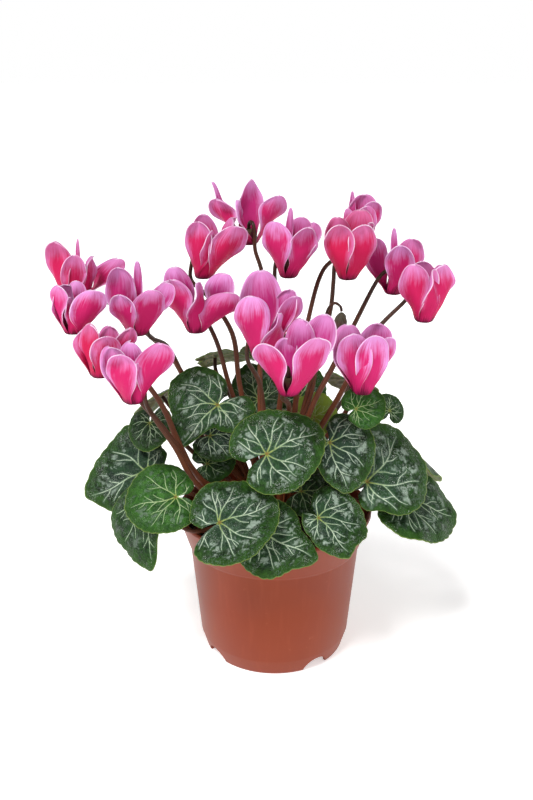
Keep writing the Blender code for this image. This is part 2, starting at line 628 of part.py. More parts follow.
def make_bloom(name, bloom, collection, material, joins):
    """A short tube with a hollow mouth below and five petals turned back round it, one body."""
    nose = Vector(bloom.nose)
    bm = bmesh.new()
    place = Matrix.Translation(nose + Vector((0, 0, TUBE_HEIGHT / 2)))
    bmesh.ops.create_cone(bm, cap_ends=True, segments=TUBE_STEPS, radius1=MOUTH_RADIUS,
                          radius2=CALYX_RADIUS, depth=TUBE_HEIGHT, matrix=place)
    mouth = [face for face in bm.faces if face.normal.z < -0.9]
    bmesh.ops.inset_region(bm, faces=mouth, thickness=MOUTH_RIM)
    bmesh.ops.translate(bm, vec=(0, 0, MOUTH_DEPTH), verts=mouth[0].verts)
    thing = add_object(name, mesh_from_bmesh(name, bm), collection, material)
    for petal in bloom.petals:
        make_petal(nose, petal, joins)
    boolean(thing, "UNION", joins)
    smooth(thing)
    return thing


def make_bud(collection, material):
    """A closed bud hanging tip down, its furled petals wound round it."""
    bm = bmesh.new()
    bmesh.ops.create_uvsphere(bm, u_segments=15, v_segments=8, radius=1)
    for vertex in bm.verts:
        x, y, z = vertex.co
        fall = (1 - z) / 2
        angle = math.atan2(y, x)
        ridge = 1 + 0.14 * math.cos(5 * (angle - 2.2 * fall))
        swell = BUD_RADIUS * ridge * math.sin(math.pi * min(fall, 1) ** 0.8) ** 0.8 if 0 < fall < 1 else 0
        vertex.co = Vector(BUD_TOP) + Vector((swell * math.cos(angle) - 2.4 * fall ** 2,
                                              swell * math.sin(angle), -BUD_LENGTH * fall))
    thing = add_object("bud_01", mesh_from_bmesh("bud_01", bm), collection, material)
    smooth(thing)
    return thing


def main():
    """Build the whole plant in its pot."""
    clear_scene()
    parts = make_collection("potted_cyclamen")
    joins = make_collection("joins")
    materials = {name: make_material(name) for name in COLOURS}
    make_pot(parts, materials["pot_plastic"], joins)
    make_soil(parts, materials["potting_soil"])
    make_tuber_with_stalks(parts, materials["stalk_skin"], joins)
    for number, leaf in enumerate(LEAVES, 1):
        make_leaf(f"leaf_{number:02d}", leaf, parts, materials["leaf_skin"])
    for number, bloom in enumerate(BLOOMS, 1):
        make_bloom(f"flower_{number:02d}", bloom, parts, materials["petal"], joins)
    make_bud(parts, materials["bud_skin"])
    for thing in parts.objects:
        thing.location = Vector((*POT_AXIS, 0)) * MM


main()
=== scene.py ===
"""Potted cyclamen: the looks of the pot, soil, stalks, leaves and blooms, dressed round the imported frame.

Tables are in millimetres from the pot's axis, +X to the right and +Y away from the front; every piece
is shifted with the pot to where it stands in the frame. The tables follow those of the part's source,
with the blooms' petals refined.
"""

import json
import logging
import math
from dataclasses import dataclass, field
from enum import Enum

import bmesh
import bpy
import numpy as np
from mathutils import Matrix, Vector

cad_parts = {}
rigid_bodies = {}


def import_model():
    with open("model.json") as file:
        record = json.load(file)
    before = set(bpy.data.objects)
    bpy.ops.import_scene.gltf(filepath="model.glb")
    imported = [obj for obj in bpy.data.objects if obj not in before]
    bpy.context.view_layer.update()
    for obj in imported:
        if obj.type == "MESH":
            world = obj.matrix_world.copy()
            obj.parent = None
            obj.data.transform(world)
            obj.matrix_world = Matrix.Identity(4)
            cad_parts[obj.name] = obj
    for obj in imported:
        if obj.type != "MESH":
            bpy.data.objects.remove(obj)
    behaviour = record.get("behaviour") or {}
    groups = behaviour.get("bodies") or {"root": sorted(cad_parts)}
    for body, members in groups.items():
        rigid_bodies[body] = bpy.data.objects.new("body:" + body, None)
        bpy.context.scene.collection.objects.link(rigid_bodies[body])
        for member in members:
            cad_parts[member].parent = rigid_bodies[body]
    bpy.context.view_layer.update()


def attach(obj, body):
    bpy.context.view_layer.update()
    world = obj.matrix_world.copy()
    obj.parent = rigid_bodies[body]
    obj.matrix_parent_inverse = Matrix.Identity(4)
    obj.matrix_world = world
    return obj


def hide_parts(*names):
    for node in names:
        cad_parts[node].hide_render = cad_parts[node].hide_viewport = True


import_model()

LOG = logging.getLogger("potted_cyclamen")
BODY = "root"
MM = 0.001
POT_AXIS = np.array((11.0, -7.5, 0.0))
UP = np.array((0.0, 0.0, 1.0))

# Outlines of the blades: (degrees from the tip, distance from the junction as a share of the length)
HEART = ((-168, 0.50), (-130, 0.60), (-90, 0.66), (-50, 0.75), (-20, 0.90), (0, 1.0),
         (20, 0.90), (50, 0.75), (90, 0.66), (130, 0.60), (168, 0.50))
ROUND = ((-168, 0.55), (-130, 0.72), (-90, 0.80), (-45, 0.88), (0, 1.0),
         (45, 0.88), (90, 0.80), (130, 0.72), (168, 0.55))
POINTED = ((-168, 0.40), (-120, 0.55), (-85, 0.66), (-45, 0.60), (-15, 0.80), (0, 1.0),
           (15, 0.80), (45, 0.60), (85, 0.66), (120, 0.55), (168, 0.40))
FAN = ((-168, 0.34), (-125, 0.46), (-81, 0.74), (-40, 0.92), (0, 1.0),
       (40, 0.84), (75, 0.70), (110, 0.58), (168, 0.34))
IVY = ((-168, 0.36), (-140, 0.55), (-112, 0.80), (-79, 0.97), (-40, 0.80), (0, 1.0),
       (16, 0.50), (32, 0.36), (62, 0.50), (90, 0.62), (125, 0.64), (168, 0.40))
ARROW = ((-168, 0.32), (-126, 0.38), (-75, 0.85), (-40, 0.80), (0, 1.0),
         (10, 0.84), (30, 0.68), (70, 0.62), (120, 0.45), (168, 0.35))
DART = ((-168, 0.40), (-103, 0.55), (-56, 0.77), (-25, 0.76), (0, 1.0),
        (25, 0.62), (52, 0.59), (100, 0.50), (168, 0.35))
FOLDED = ((-168, 0.40), (-120, 0.66), (-80, 0.82), (-45, 0.78), (-15, 0.88), (0, 1.0),
          (15, 0.60), (60, 0.30), (168, 0.30))
LOPSIDED = ((-168, 0.30), (-120, 0.42), (-80, 0.46), (-40, 0.55), (-15, 0.80), (0, 1.0),
            (30, 0.95), (76, 0.88), (110, 0.80), (135, 0.70), (168, 0.45))
SHELL = ((-168, 0.22), (-113, 0.38), (-90, 0.60), (-60, 0.85), (-30, 1.0), (0, 1.0),
         (25, 0.86), (60, 0.60), (100, 0.40), (168, 0.22))
LOBED = ((-168, 0.30), (-122, 0.32), (-60, 0.38), (-25, 0.68), (0, 1.0), (18, 0.90), (37, 1.02),
         (60, 0.95), (88, 0.87), (129, 0.74), (168, 0.40))
OVAL = ((-168, 0.45), (-130, 0.55), (-90, 0.60), (-45, 0.78), (0, 1.0),
        (45, 0.60), (90, 0.42), (130, 0.45), (168, 0.45))
KIDNEY = ((-168, 0.50), (-130, 0.68), (-90, 0.68), (-50, 0.75), (-20, 0.88), (0, 0.95),
          (20, 0.90), (50, 0.78), (90, 0.66), (130, 0.50), (168, 0.42))

# The end of a flower stalk: (out from the nose, up from it) over the hook and down on to the calyx
BENT = ((8.4, -3.0), (7.9, 7.0), (5.6, 12.4), (2.2, 13.2), (0.3, 11.2), (0.0, 8.55))
ARCHED = ((14.0, 7.0), (10.0, 11.4), (5.6, 13.6), (2.2, 13.4), (0.3, 11.2), (0.0, 8.55))


# ---------------------------------------------------------------- helpers for shapes

def heading(azimuth: float, elevation: float = 0.0) -> np.ndarray:
    """Unit vector at an azimuth and an elevation in degrees.

    Args:
        azimuth: turn from +X towards +Y.
        elevation: angle above level.

    Returns:
        Three coordinates.
    """
    a, e = math.radians(azimuth), math.radians(elevation)
    return np.array((math.cos(a) * math.cos(e), math.sin(a) * math.cos(e), math.sin(e)))


def ease(value: np.ndarray, low: float, high: float) -> np.ndarray:
    """Smooth step: 0 under low, 1 over high, and 3t^2 - 2t^3 of the share between them.

    Args:
        value: any array.
        low: where it starts to rise.
        high: where it is 1.

    Returns:
        An array from 0 to 1.
    """
    t = np.clip((value - low) / (high - low), 0.0, 1.0)
    return t * t * (3.0 - 2.0 * t)


def together(*parts: np.ndarray | float) -> np.ndarray:
    """Coordinates of a grid's points, from arrays that are stretched to one shape and stacked last."""
    return np.stack(np.broadcast_arrays(*parts), -1)


def smooth_route(points: list, per_span: int) -> np.ndarray:
    """Points along a Catmull-Rom curve through the given ones.

    The curve's knots are spaced by the root of the distance, which keeps it from overshooting.

    Args:
        points: what the curve passes through.
        per_span: steps from each of them to the next.

    Returns:
        An array of points, first and last included.
    """
    pts = np.array([tuple(point) for point in points], dtype=float)
    pts = np.vstack([2 * pts[0] - pts[1], pts, 2 * pts[-1] - pts[-2]])
    knots = np.concatenate([[0], np.cumsum(np.sqrt(np.linalg.norm(np.diff(pts, axis=0), axis=1)))])
    spans = []
    for k in range(1, len(pts) - 2):
        t0, t1, t2, t3 = knots[k - 1:k + 3]
        t = np.linspace(t1, t2, per_span, endpoint=False)[:, None]
        a1 = (t1 - t) / (t1 - t0) * pts[k - 1] + (t - t0) / (t1 - t0) * pts[k]
        a2 = (t2 - t) / (t2 - t1) * pts[k] + (t - t1) / (t2 - t1) * pts[k + 1]
        a3 = (t3 - t) / (t3 - t2) * pts[k + 1] + (t - t2) / (t3 - t2) * pts[k + 2]
        b1 = (t2 - t) / (t2 - t0) * a1 + (t - t0) / (t2 - t0) * a2
        b2 = (t3 - t) / (t3 - t1) * a2 + (t - t1) / (t3 - t1) * a3
        spans.append((t2 - t) / (t2 - t1) * b1 + (t - t1) / (t2 - t1) * b2)
    return np.vstack([*spans, pts[-2:-1]])


def crown_start(target: tuple | np.ndarray, ring: float) -> list[np.ndarray]:
    """Two points where a stalk leaves the tuber's crown towards its target.

    Args:
        target: where the stalk heads.
        ring: distance of its foot from the axis.

    Returns:
        The foot inside the tuber, and a point just over the crown.
    """
    azimuth = math.degrees(math.atan2(target[1], target[0]))
    foot = heading(azimuth) * ring
    return [foot + UP * Tuber.crown_z, foot * Tuber.crown_spread + UP * (Tuber.top + Tuber.crown_exit)]


@dataclass
class Skin:
    """Grids of points gathered into one mesh, with what the finishes read at each point.

    The attribute "place" is where a point lies in its own pattern, and "tone" is how its member of
    the family differs from the others.
    """

    points: list[np.ndarray] = field(default_factory=list)
    faces: list[np.ndarray] = field(default_factory=list)
    places: list[np.ndarray] = field(default_factory=list)
    tones: list[np.ndarray] = field(default_factory=list)
    finishes: list[np.ndarray] = field(default_factory=list)
    count: int = 0

    def add_grid(self, grid: np.ndarray, place: np.ndarray, tone: np.ndarray | tuple, finish: int = 0,
                 wrap: bool = False, flip: bool = False, start: np.ndarray | None = None,
                 end: np.ndarray | None = None) -> None:
        """Add a grid of points as quads, its poles closed by fans where they are given.

        Args:
            grid: rows of columns of points, mm.
            place: rows of columns of three numbers for the attribute "place".
            tone: three numbers for the attribute "tone", for each point or for the whole grid.
            finish: number of its finish on the piece.
            wrap: whether the last column joins the first.
            flip: turns the faces over.
            start: a point that closes the first row.
            end: a point that closes the last row.
        """
        rows, columns = grid.shape[:2]
        first = self.count
        here = np.arange(columns if wrap else columns - 1)
        after = (here + 1) % columns
        row = np.arange(rows - 1)[:, None] * columns
        quads = np.stack([row + here, row + columns + here, row + columns + after, row + after], -1)
        batches = [quads.reshape(-1, 4) + first]
        tone = np.broadcast_to(np.asarray(tone, dtype=float), grid.shape)
        points = [grid.reshape(-1, 3)]
        places = [place.reshape(-1, 3)]
        tones = [tone.reshape(-1, 3)]
        extra = rows * columns
        for pole, rim, inward in ((start, 0, True), (end, (rows - 1) * columns, False)):
            if pole is None:
                continue
            centre = np.full(len(here), extra)
            order = (centre, rim + here, rim + after) if inward else (rim + here, centre, rim + after)
            batches.append(np.stack(order, -1) + first)
            points.append(np.asarray(pole, dtype=float).reshape(1, 3))
            places.append(place[0 if inward else -1].mean(axis=0).reshape(1, 3))
            tones.append(tone[0 if inward else -1].mean(axis=0).reshape(1, 3))
            extra += 1
        self.count += extra
        self.points += points
        self.places += places
        self.tones += tones
        for batch in batches:
            self.faces.append(batch[:, ::-1] if flip else batch)
            self.finishes.append(np.full(len(batch), finish))

    def make(self, name: str, finishes: list[bpy.types.Material]) -> bpy.types.Object:
        """Build the object, in metres, in the frame's place.

        Args:
            name: the piece's name.
            finishes: its materials, in the order of their numbers.

        Returns:
            The smooth-shaded object, linked to the scene.
        """
        mesh = bpy.data.meshes.new(name)
        points = (np.concatenate(self.points) + POT_AXIS) * MM
        faces = [face for batch in self.faces for face in batch.tolist()]
        mesh.from_pydata(points.tolist(), [], faces)
        for label, parts in (("place", self.places), ("tone", self.tones)):
            layer = mesh.attributes.new(label, "FLOAT_VECTOR", "POINT")
            layer.data.foreach_set("vector", np.concatenate(parts).astype(np.float32).ravel())
        for material in finishes:
            mesh.materials.append(material)
        mesh.polygons.foreach_set("material_index", np.concatenate(self.finishes).astype(np.int32))
        mesh.shade_smooth()
        mesh.update()
        thing = bpy.data.objects.new(name, mesh)
        bpy.context.scene.collection.objects.link(thing)
        return thing


def sweep(route: np.ndarray, radii: np.ndarray, sides: int) -> np.ndarray:
    """A round section carried along a route: centre + radius * (cos a * side + sin a * other side).

    The side vector is carried from ring to ring by taking off its part along the route, so that it
    doesn't spin.

    Args:
        route: points of the centreline.
        radii: radius at each of them.
        sides: points round the section.

    Returns:
        A grid of points, a ring in each row.
    """
    tangents = np.gradient(route, axis=0)
    tangents /= np.linalg.norm(tangents, axis=1)[:, None]
    side = np.cross(tangents[0], (0.3, 0.9, 0.1))
    sideways = []
    for tangent in tangents:
        side = side - tangent * (side @ tangent)
        side = side / np.linalg.norm(side)
        sideways.append(side)
    sideways = np.array(sideways)
    others = np.cross(tangents, sideways)
    a = np.linspace(0, math.tau, sides, endpoint=False)[None, :, None]
    ring = np.cos(a) * sideways[:, None, :] + np.sin(a) * others[:, None, :]
    return route[:, None, :] + ring * radii[:, None, None]


def arc_share(route: np.ndarray) -> np.ndarray:
    """Share of a route's length run at each of its points, from 0 to 1."""
    run = np.concatenate([[0], np.cumsum(np.linalg.norm(np.diff(route, axis=0), axis=1))])
    return run / run[-1]


def lathe(profile: np.ndarray, sides: int, centre: np.ndarray) -> np.ndarray:
    """A turned surface: centre + (r cos a, r sin a, z) for each (r, z) of the profile.

    Args:
        profile: rows of (radius, height).
        sides: points round the axis.
        centre: foot of the axis.

    Returns:
        A grid of points, a ring in each row.
    """
    a = np.linspace(0, math.tau, sides, endpoint=False)
    ring = np.stack([np.cos(a), np.sin(a), np.zeros(sides)], -1)
    return centre + profile[:, None, :1] * ring + profile[:, None, 1:] * UP


def thicken(thing: bpy.types.Object, thickness: float, back: int) -> None:
    """Give a surface its thickness, half to each side, with another finish on the back.

    Args:
        thing: the surface.
        thickness: mm.
        back: how many finishes further the back's one is.
    """
    shell = thing.modifiers.new("thickness", "SOLIDIFY")
    shell.thickness = thickness * MM
    shell.offset = 0
    shell.material_offset = back


def colour(code: int) -> tuple[float, float, float, float]:
    """A colour written as 0xRRGGBB on a screen, as the linear values that a shader takes."""
    parts = [(code >> shift & 255) / 255 for shift in (16, 8, 0)]
    return (*(p / 12.92 if p < 0.04045 else ((p + 0.055) / 1.055) ** 2.4 for p in parts), 1.0)


# ---------------------------------------------------------------- helpers for finishes

Value = float | int | tuple | bpy.types.NodeSocket


class NodeBench:
    """A material's node tree, with short ways to add to it."""

    def __init__(self, name: str) -> None:
        """Start a material with one Principled shader."""
        self.material = bpy.data.materials.new(name)
        self.material.use_nodes = True
        self.tree = self.material.node_tree
        self.shader = self.tree.nodes["Principled BSDF"]

    def feed(self, socket: bpy.types.NodeSocket, value: Value) -> None:
        """Link a socket to another, or set its value."""
        if isinstance(value, bpy.types.NodeSocket):
            self.tree.links.new(value, socket)
        else:
            socket.default_value = value

    def add(self, kind: str, inputs: dict, **settings: object) -> bpy.types.Node:
        """Add a node.

        Args:
            kind: its type.
            inputs: values or links by socket name or number.
            settings: its own properties.

        Returns:
            The node.
        """
        node = self.tree.nodes.new(kind)
        for label, value in settings.items():
            setattr(node, label, value)
        for key, value in inputs.items():
            self.feed(node.inputs[key], value)
        return node

    def attribute(self, name: str) -> tuple[bpy.types.NodeSocket, ...]:
        """An attribute's vector, then its three numbers."""
        vector = self.add("ShaderNodeAttribute", {}, attribute_name=name).outputs["Vector"]
        parts = self.add("ShaderNodeSeparateXYZ", {0: vector}).outputs
        return vector, parts[0], parts[1], parts[2]

    def local(self) -> bpy.types.NodeSocket:
        """Object coordinates, in metres."""
        return self.add("ShaderNodeTexCoord", {}).outputs["Object"]

    def vector(self, x: Value, y: Value, z: Value) -> bpy.types.NodeSocket:
        """Three numbers as a vector."""
        return self.add("ShaderNodeCombineXYZ", {0: x, 1: y, 2: z}).outputs[0]

    def math(self, operation: str, *values: Value) -> bpy.types.NodeSocket:
        """The result of a Math node on up to three values."""
        return self.add("ShaderNodeMath", dict(enumerate(values)), operation=operation).outputs[0]

    def noise(self, vector: Value, scale: float, detail: float = 2.0,
              roughness: float = 0.5) -> bpy.types.NodeSocket:
        """Smooth noise from 0 to 1 at so many cells a unit."""
        inputs = {"Vector": vector, "Scale": scale, "Detail": detail, "Roughness": roughness}
        return self.add("ShaderNodeTexNoise", inputs).outputs[0]

    def cells(self, vector: Value, scale: float) -> bpy.types.NodeSocket:
        """Distance to the nearest border between cells, so many cells a unit."""
        inputs = {"Vector": vector, "Scale": scale}
        node = self.add("ShaderNodeTexVoronoi", inputs, feature="DISTANCE_TO_EDGE")
        return node.outputs["Distance"]

    def ease(self, value: Value, low: Value, high: Value) -> bpy.types.NodeSocket:
        """Smooth step from 0 at low to 1 at high."""
        inputs = {"Value": value, "From Min": low, "From Max": high}
        node = self.add("ShaderNodeMapRange", inputs, interpolation_type="SMOOTHSTEP")
        return node.outputs["Result"]

    def fade(self, value: Value, low: Value, high: Value) -> bpy.types.NodeSocket:
        """Smooth step from 1 at low to 0 at high."""
        return self.math("SUBTRACT", 1.0, self.ease(value, low, high))

    def scale(self, value: Value, low: float, high: float) -> bpy.types.NodeSocket:
        """A value from 0 to 1 spread over another range."""
        inputs = {"Value": value, "To Min": low, "To Max": high}
        return self.add("ShaderNodeMapRange", inputs).outputs["Result"]

    def product(self, *values: Value) -> bpy.types.NodeSocket:
        """All the values multiplied."""
        result = values[0]
        for value in values[1:]:
            result = self.math("MULTIPLY", result, value)
        return result

    def wander(self, value: Value, noise: Value, amount: float) -> bpy.types.NodeSocket:
        """A value shifted to and fro by a noise: value + amount * (noise - 0.5)."""
        return self.math("MULTIPLY_ADD", self.math("SUBTRACT", noise, 0.5), amount, value)

    def blend(self, share: Value, under: Value, over: Value) -> bpy.types.NodeSocket:
        """One colour over another by a share. Each is a socket or a code written as 0xRRGGBB."""
        under, over = (colour(value) if isinstance(value, int) else value for value in (under, over))
        return self.add("ShaderNodeMix", {0: share, 6: under, 7: over}, data_type="RGBA").outputs[2]

    def dress(self, base: Value, rough: Value, height: Value, depth: float,
              **constants: float) -> bpy.types.Material:
        """Finish the shader.

        Args:
            base: its colour.
            rough: its roughness.
            height: relief from 0 to 1.
            depth: what a height of 1 stands for, mm.
            constants: other sockets by name with _ for a space, set to one number.

        Returns:
            The material.
        """
        bump = self.add("ShaderNodeBump", {"Height": height, "Distance": depth * MM})
        self.feed(self.shader.inputs["Base Color"], base)
        self.feed(self.shader.inputs["Roughness"], rough)
        self.feed(self.shader.inputs["Normal"], bump.outputs[0])
        for label, value in constants.items():
            self.shader.inputs[label.replace("_", " ")].default_value = value
        return self.material


@dataclass
class Piece:
    """A finished object and what it stands for in the frame."""

    thing: bpy.types.Object
    stands_for: tuple[str, ...]
    slot: str

    def seat(self) -> None:
        """Ride on the body and stand for the nodes."""
        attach(self.thing, BODY)
        if self.stands_for:
            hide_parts(*self.stands_for)
        LOG.info("%s: %d faces, for %s", self.thing.name, len(self.thing.data.polygons),
                 ", ".join(self.stands_for) or "no node")


# ---------------------------------------------------------------- finishes

class Tint(Enum):
    """How a blade is coloured: (fresh green from 0 to 1 and yellow beyond, share of silver)."""

    SILVERED = (0.05, 1.0)
    DEEP = (0.15, 0.45)
    FRESH = (0.8, 0.4)
    YELLOWING = (1.8, 0.1)


@dataclass(frozen=True)
class PotPlastic:
    """Satin moulded plastic, with faint flow marks, fine pitting and scuffs."""

    base: int = 0x84371C
    pale: int = 0x94442A
    deep: int = 0x80351E
    scuffed: int = 0xAC6448

    def make(self) -> bpy.types.Material:
        """The material."""
        bench = NodeBench("pot_plastic_satin")
        local = bench.local()
        broad = bench.noise(local, 22, 3)
        stretched = bench.add("ShaderNodeMapping", {0: local, 3: (1.0, 1.0, 0.06)}).outputs[0]
        flow = bench.noise(stretched, 260, 2)
        pits = bench.noise(local, 2600, 2)
        tone = bench.blend(bench.ease(broad, 0.35, 0.65), self.deep, self.base)
        tone = bench.blend(bench.product(bench.ease(flow, 0.5, 0.75), 0.2), tone, self.pale)
        scuffs = bench.product(bench.ease(bench.noise(local, 90, 4, 0.7), 0.62, 0.75), 0.3)
        tone = bench.blend(scuffs, tone, self.scuffed)
        rough = bench.math("ADD", bench.scale(broad, 0.36, 0.46), bench.product(scuffs, 0.4))
        height = bench.math("ADD", bench.product(pits, 0.5), bench.product(flow, 0.5))
        return bench.dress(tone, rough, height, 0.03, Specular_IOR_Level=0.2)


@dataclass(frozen=True)
class PottingSoil:
    """Damp peat with bits of bark."""

    dark: int = 0x120B08
    light: int = 0x33211A
    clod: int = 0x4A2D22
    bark: int = 0x7A4A30

    def make(self) -> bpy.types.Material:
        """The material."""
        bench = NodeBench("potting_soil_damp")
        local = bench.local()
        _, kind, _, _ = bench.attribute("tone")
        grain = bench.noise(local, 900, 4, 0.65)
        clods = bench.noise(local, 240, 3)
        tone = bench.blend(bench.ease(grain, 0.35, 0.7), self.dark, self.light)
        tone = bench.blend(bench.product(bench.ease(clods, 0.55, 0.7), 0.6), tone, self.clod)
        tone = bench.blend(bench.ease(kind, 0.6, 0.9), tone, self.bark)
        height = bench.math("ADD", grain, clods)
        return bench.dress(tone, bench.scale(grain, 0.75, 1.0), height, 0.8, Specular_IOR_Level=0.3)


@dataclass(frozen=True)
class StalkSkin:
    """Fleshy stalk: maroon brown above, redder below, with fine lengthwise ribs."""

    low: int = 0x82462A
    high: int = 0x36221A
    patch: int = 0x5A3220
    warm: int = 0x9C5830
    speckled: int = 0x9A6044

    def make(self) -> bpy.types.Material:
        """The material."""
        bench = NodeBench("stalk_skin_satin")
        _, along, turn, _ = bench.attribute("place")
        _, redness, seed, _ = bench.attribute("tone")
        local = bench.local()
        patchy = bench.noise(local, 130, 3)
        tone = bench.blend(bench.ease(along, 0.15, 0.95), self.low, self.high)
        tone = bench.blend(bench.product(bench.ease(patchy, 0.4, 0.7), 0.5), tone, self.patch)
        tone = bench.blend(bench.product(redness, bench.fade(along, 0.0, 0.5)), tone, self.warm)
        ribs = bench.noise(bench.vector(bench.product(turn, 9.0), bench.product(along, 6.0), seed), 3, 2)
        speckle = bench.noise(local, 2200, 2)
        tone = bench.blend(bench.product(bench.ease(speckle, 0.62, 0.75), 0.4), tone, self.speckled)
        rough = bench.scale(patchy, 0.3, 0.5)
        return bench.dress(tone, rough, ribs, 0.25, Specular_IOR_Level=0.22)


@dataclass(frozen=True)
class TuberCork:
    """Brown corky skin of the tuber."""

    dark: int = 0x3A241A
    light: int = 0x6B452F
    crack: int = 0x1E120D

    def make(self) -> bpy.types.Material:
        """The material."""
        bench = NodeBench("tuber_cork")
        local = bench.local()
        broad = bench.noise(local, 160, 4, 0.6)
        cracks = bench.ease(bench.cells(local, 420), 0.0, 0.12)
        tone = bench.blend(broad, self.dark, self.light)
        tone = bench.blend(bench.math("SUBTRACT", 1.0, cracks), tone, self.crack)
        return bench.dress(tone, 0.8, bench.math("ADD", broad, cracks), 0.5)


@dataclass(frozen=True)
class LeafFace:
    """Upper face of a blade: dark green with silver blotches between the veins and a greener margin."""

    deep: int = 0x081405
    green: int = 0x1C3812
    # Bluish grey-green: partly the leaf's silvering, partly a painted reflection of the sky
    silvering_and_sky_sheen: int = 0x2A3E38
    fresh_deep: int = 0x204A14
    fresh_light: int = 0x3C7024
    margin: int = 0x2C5016
    yellow: int = 0x7E9430
    blotched: int = 0x96A898
    halo: int = 0x6C8672
    haze: int = 0x7E9488
    speck: int = 0xD0DACE
    net: int = 0x4C6A42
    junction: int = 0x6E6A30
    rim: int = 0x7C9248

    def ground(self, bench: NodeBench, reach: Value, fresh: Value, silver: Value, mottle: Value,
               broad: Value) -> bpy.types.NodeSocket:
        """The green under the silver: bluish by the middle, partly the leaf's silvering and partly painted
        sky reflection, brighter by the margin, fresh or yellowing.

        Args:
            bench: the material's nodes.
            reach: share of the way from the junction to the margin.
            fresh: fresh green from 0 to 1 and yellow beyond.
            silver: share of silver.
            mottle: noise of the blade's middling patches.
            broad: noise of its broad ones.

        Returns:
            The colour.
        """
        base = bench.blend(bench.ease(mottle, 0.35, 0.7), self.deep, self.green)
        inner = bench.fade(bench.wander(reach, broad, 0.6), 0.5, 0.78)
        # Painted sky reflection: a bluish grey-green over the middle of the blade, partly the leaf's
        # silvering and partly painted reflection
        bluish = bench.product(inner, silver, bench.scale(mottle, 0.5, 1.0))
        base = bench.blend(bench.product(bluish, 0.7), base, self.silvering_and_sky_sheen)
        bright = bench.blend(bench.ease(mottle, 0.35, 0.65), self.fresh_deep, self.fresh_light)
        base = bench.blend(bench.math("MINIMUM", fresh, 1.0), base, bright)
        outer = bench.ease(bench.wander(reach, mottle, 0.35), 0.75, 1.0)
        base = bench.blend(bench.product(outer, 0.75), base, self.margin)
        return bench.blend(bench.ease(fresh, 1.0, 2.0), base, self.yellow)

    def make(self) -> bpy.types.Material:
        """The material."""
        bench = NodeBench("leaf_face_marbled")
        _, x, y, reach = bench.attribute("place")
        _, fresh, silver, near = bench.attribute("tone")
        seed = bench.noise(bench.local(), 5, 1)
        flat = bench.vector(x, y, bench.product(seed, 9.0))
        broad = bench.noise(flat, 2.4, 2)
        mottle = bench.noise(flat, 9, 3, 0.6)
        fine = bench.noise(flat, 34, 3, 0.65)
        fleck = bench.noise(flat, 75, 2, 0.6)
        net = bench.cells(bench.vector(bench.math("MULTIPLY_ADD", mottle, 0.06, x),
                                       bench.math("MULTIPLY_ADD", fine, 0.03, y), seed), 17)
        base = self.ground(bench, reach, fresh, silver, mottle, broad)
        edge = bench.wander(reach, mottle, 0.35)
        ring = bench.product(bench.ease(edge, 0.4, 0.55), bench.fade(edge, 0.74, 0.86), silver)
        patches = bench.ease(bench.noise(flat, 6.5, 3, 0.65), 0.48, 0.62)
        blotch = bench.product(ring, bench.ease(near, 0.015, 0.05), patches)
        base = bench.blend(bench.product(blotch, 0.85), base, self.blotched)
        by_vein = bench.product(bench.fade(near, 0.0, 0.032), silver, 0.5)
        base = bench.blend(by_vein, base, self.halo)
        haze = bench.product(silver, bench.ease(fine, 0.52, 0.64), bench.ease(broad, 0.42, 0.6), 0.3)
        base = bench.blend(haze, base, self.haze)
        cluster = bench.ease(bench.noise(flat, 4.2, 1), 0.52, 0.62)
        specks = bench.product(bench.ease(fleck, 0.58, 0.66), cluster, bench.math("MAXIMUM", silver, 0.4))
        base = bench.blend(bench.product(specks, 0.9), base, self.speck)
        base = bench.blend(bench.product(bench.fade(net, 0.0, 0.04), 0.2), base, self.net)
        base = bench.blend(bench.fade(reach, 0.0, 0.08), base, self.junction)
        base = bench.blend(bench.product(bench.ease(reach, 0.975, 0.998), 0.8), base, self.rim)
        rough = bench.math("ADD", bench.scale(mottle, 0.3, 0.46), bench.product(specks, 0.2))
        height = bench.math("ADD", bench.ease(net, 0.0, 0.2), bench.product(fine, 0.5))
        height = bench.math("ADD", height, bench.product(specks, 0.8))
        return bench.dress(base, rough, height, 0.3, Specular_IOR_Level=0.15)


@dataclass(frozen=True)
class LeafVein:
    """Raised vein: yellow green by the junction, silver green along, sinking into the blade's green."""

    olive: int = 0x8C9A4C
    pale: int = 0xA2B894
    silvered: int = 0xC8D6C2
    bright: int = 0x9CB85C
    sunk: int = 0x4A683C
    patch: int = 0x56744C
    junction: int = 0x7E6A34

    def make(self) -> bpy.types.Material:
        """The material."""
        bench = NodeBench("leaf_vein_silvery")
        _, x, y, along = bench.attribute("place")
        _, fresh, silver, reach = bench.attribute("tone")
        grain = bench.noise(bench.vector(x, y, along), 18, 3)
        tone = bench.blend(bench.ease(reach, 0.03, 0.3), self.olive, self.pale)
        tone = bench.blend(bench.product(silver, bench.ease(reach, 0.25, 0.5)), tone, self.silvered)
        tone = bench.blend(bench.product(bench.math("MINIMUM", fresh, 1.0), 0.5), tone, self.bright)
        tone = bench.blend(bench.product(bench.ease(reach, 0.62, 0.98), 0.75), tone, self.sunk)
        tone = bench.blend(bench.product(bench.ease(grain, 0.4, 0.65), 0.5), tone, self.patch)
        tone = bench.blend(bench.fade(reach, 0.01, 0.07), tone, self.junction)
        return bench.dress(tone, bench.scale(grain, 0.4, 0.55), grain, 0.1, Specular_IOR_Level=0.2)


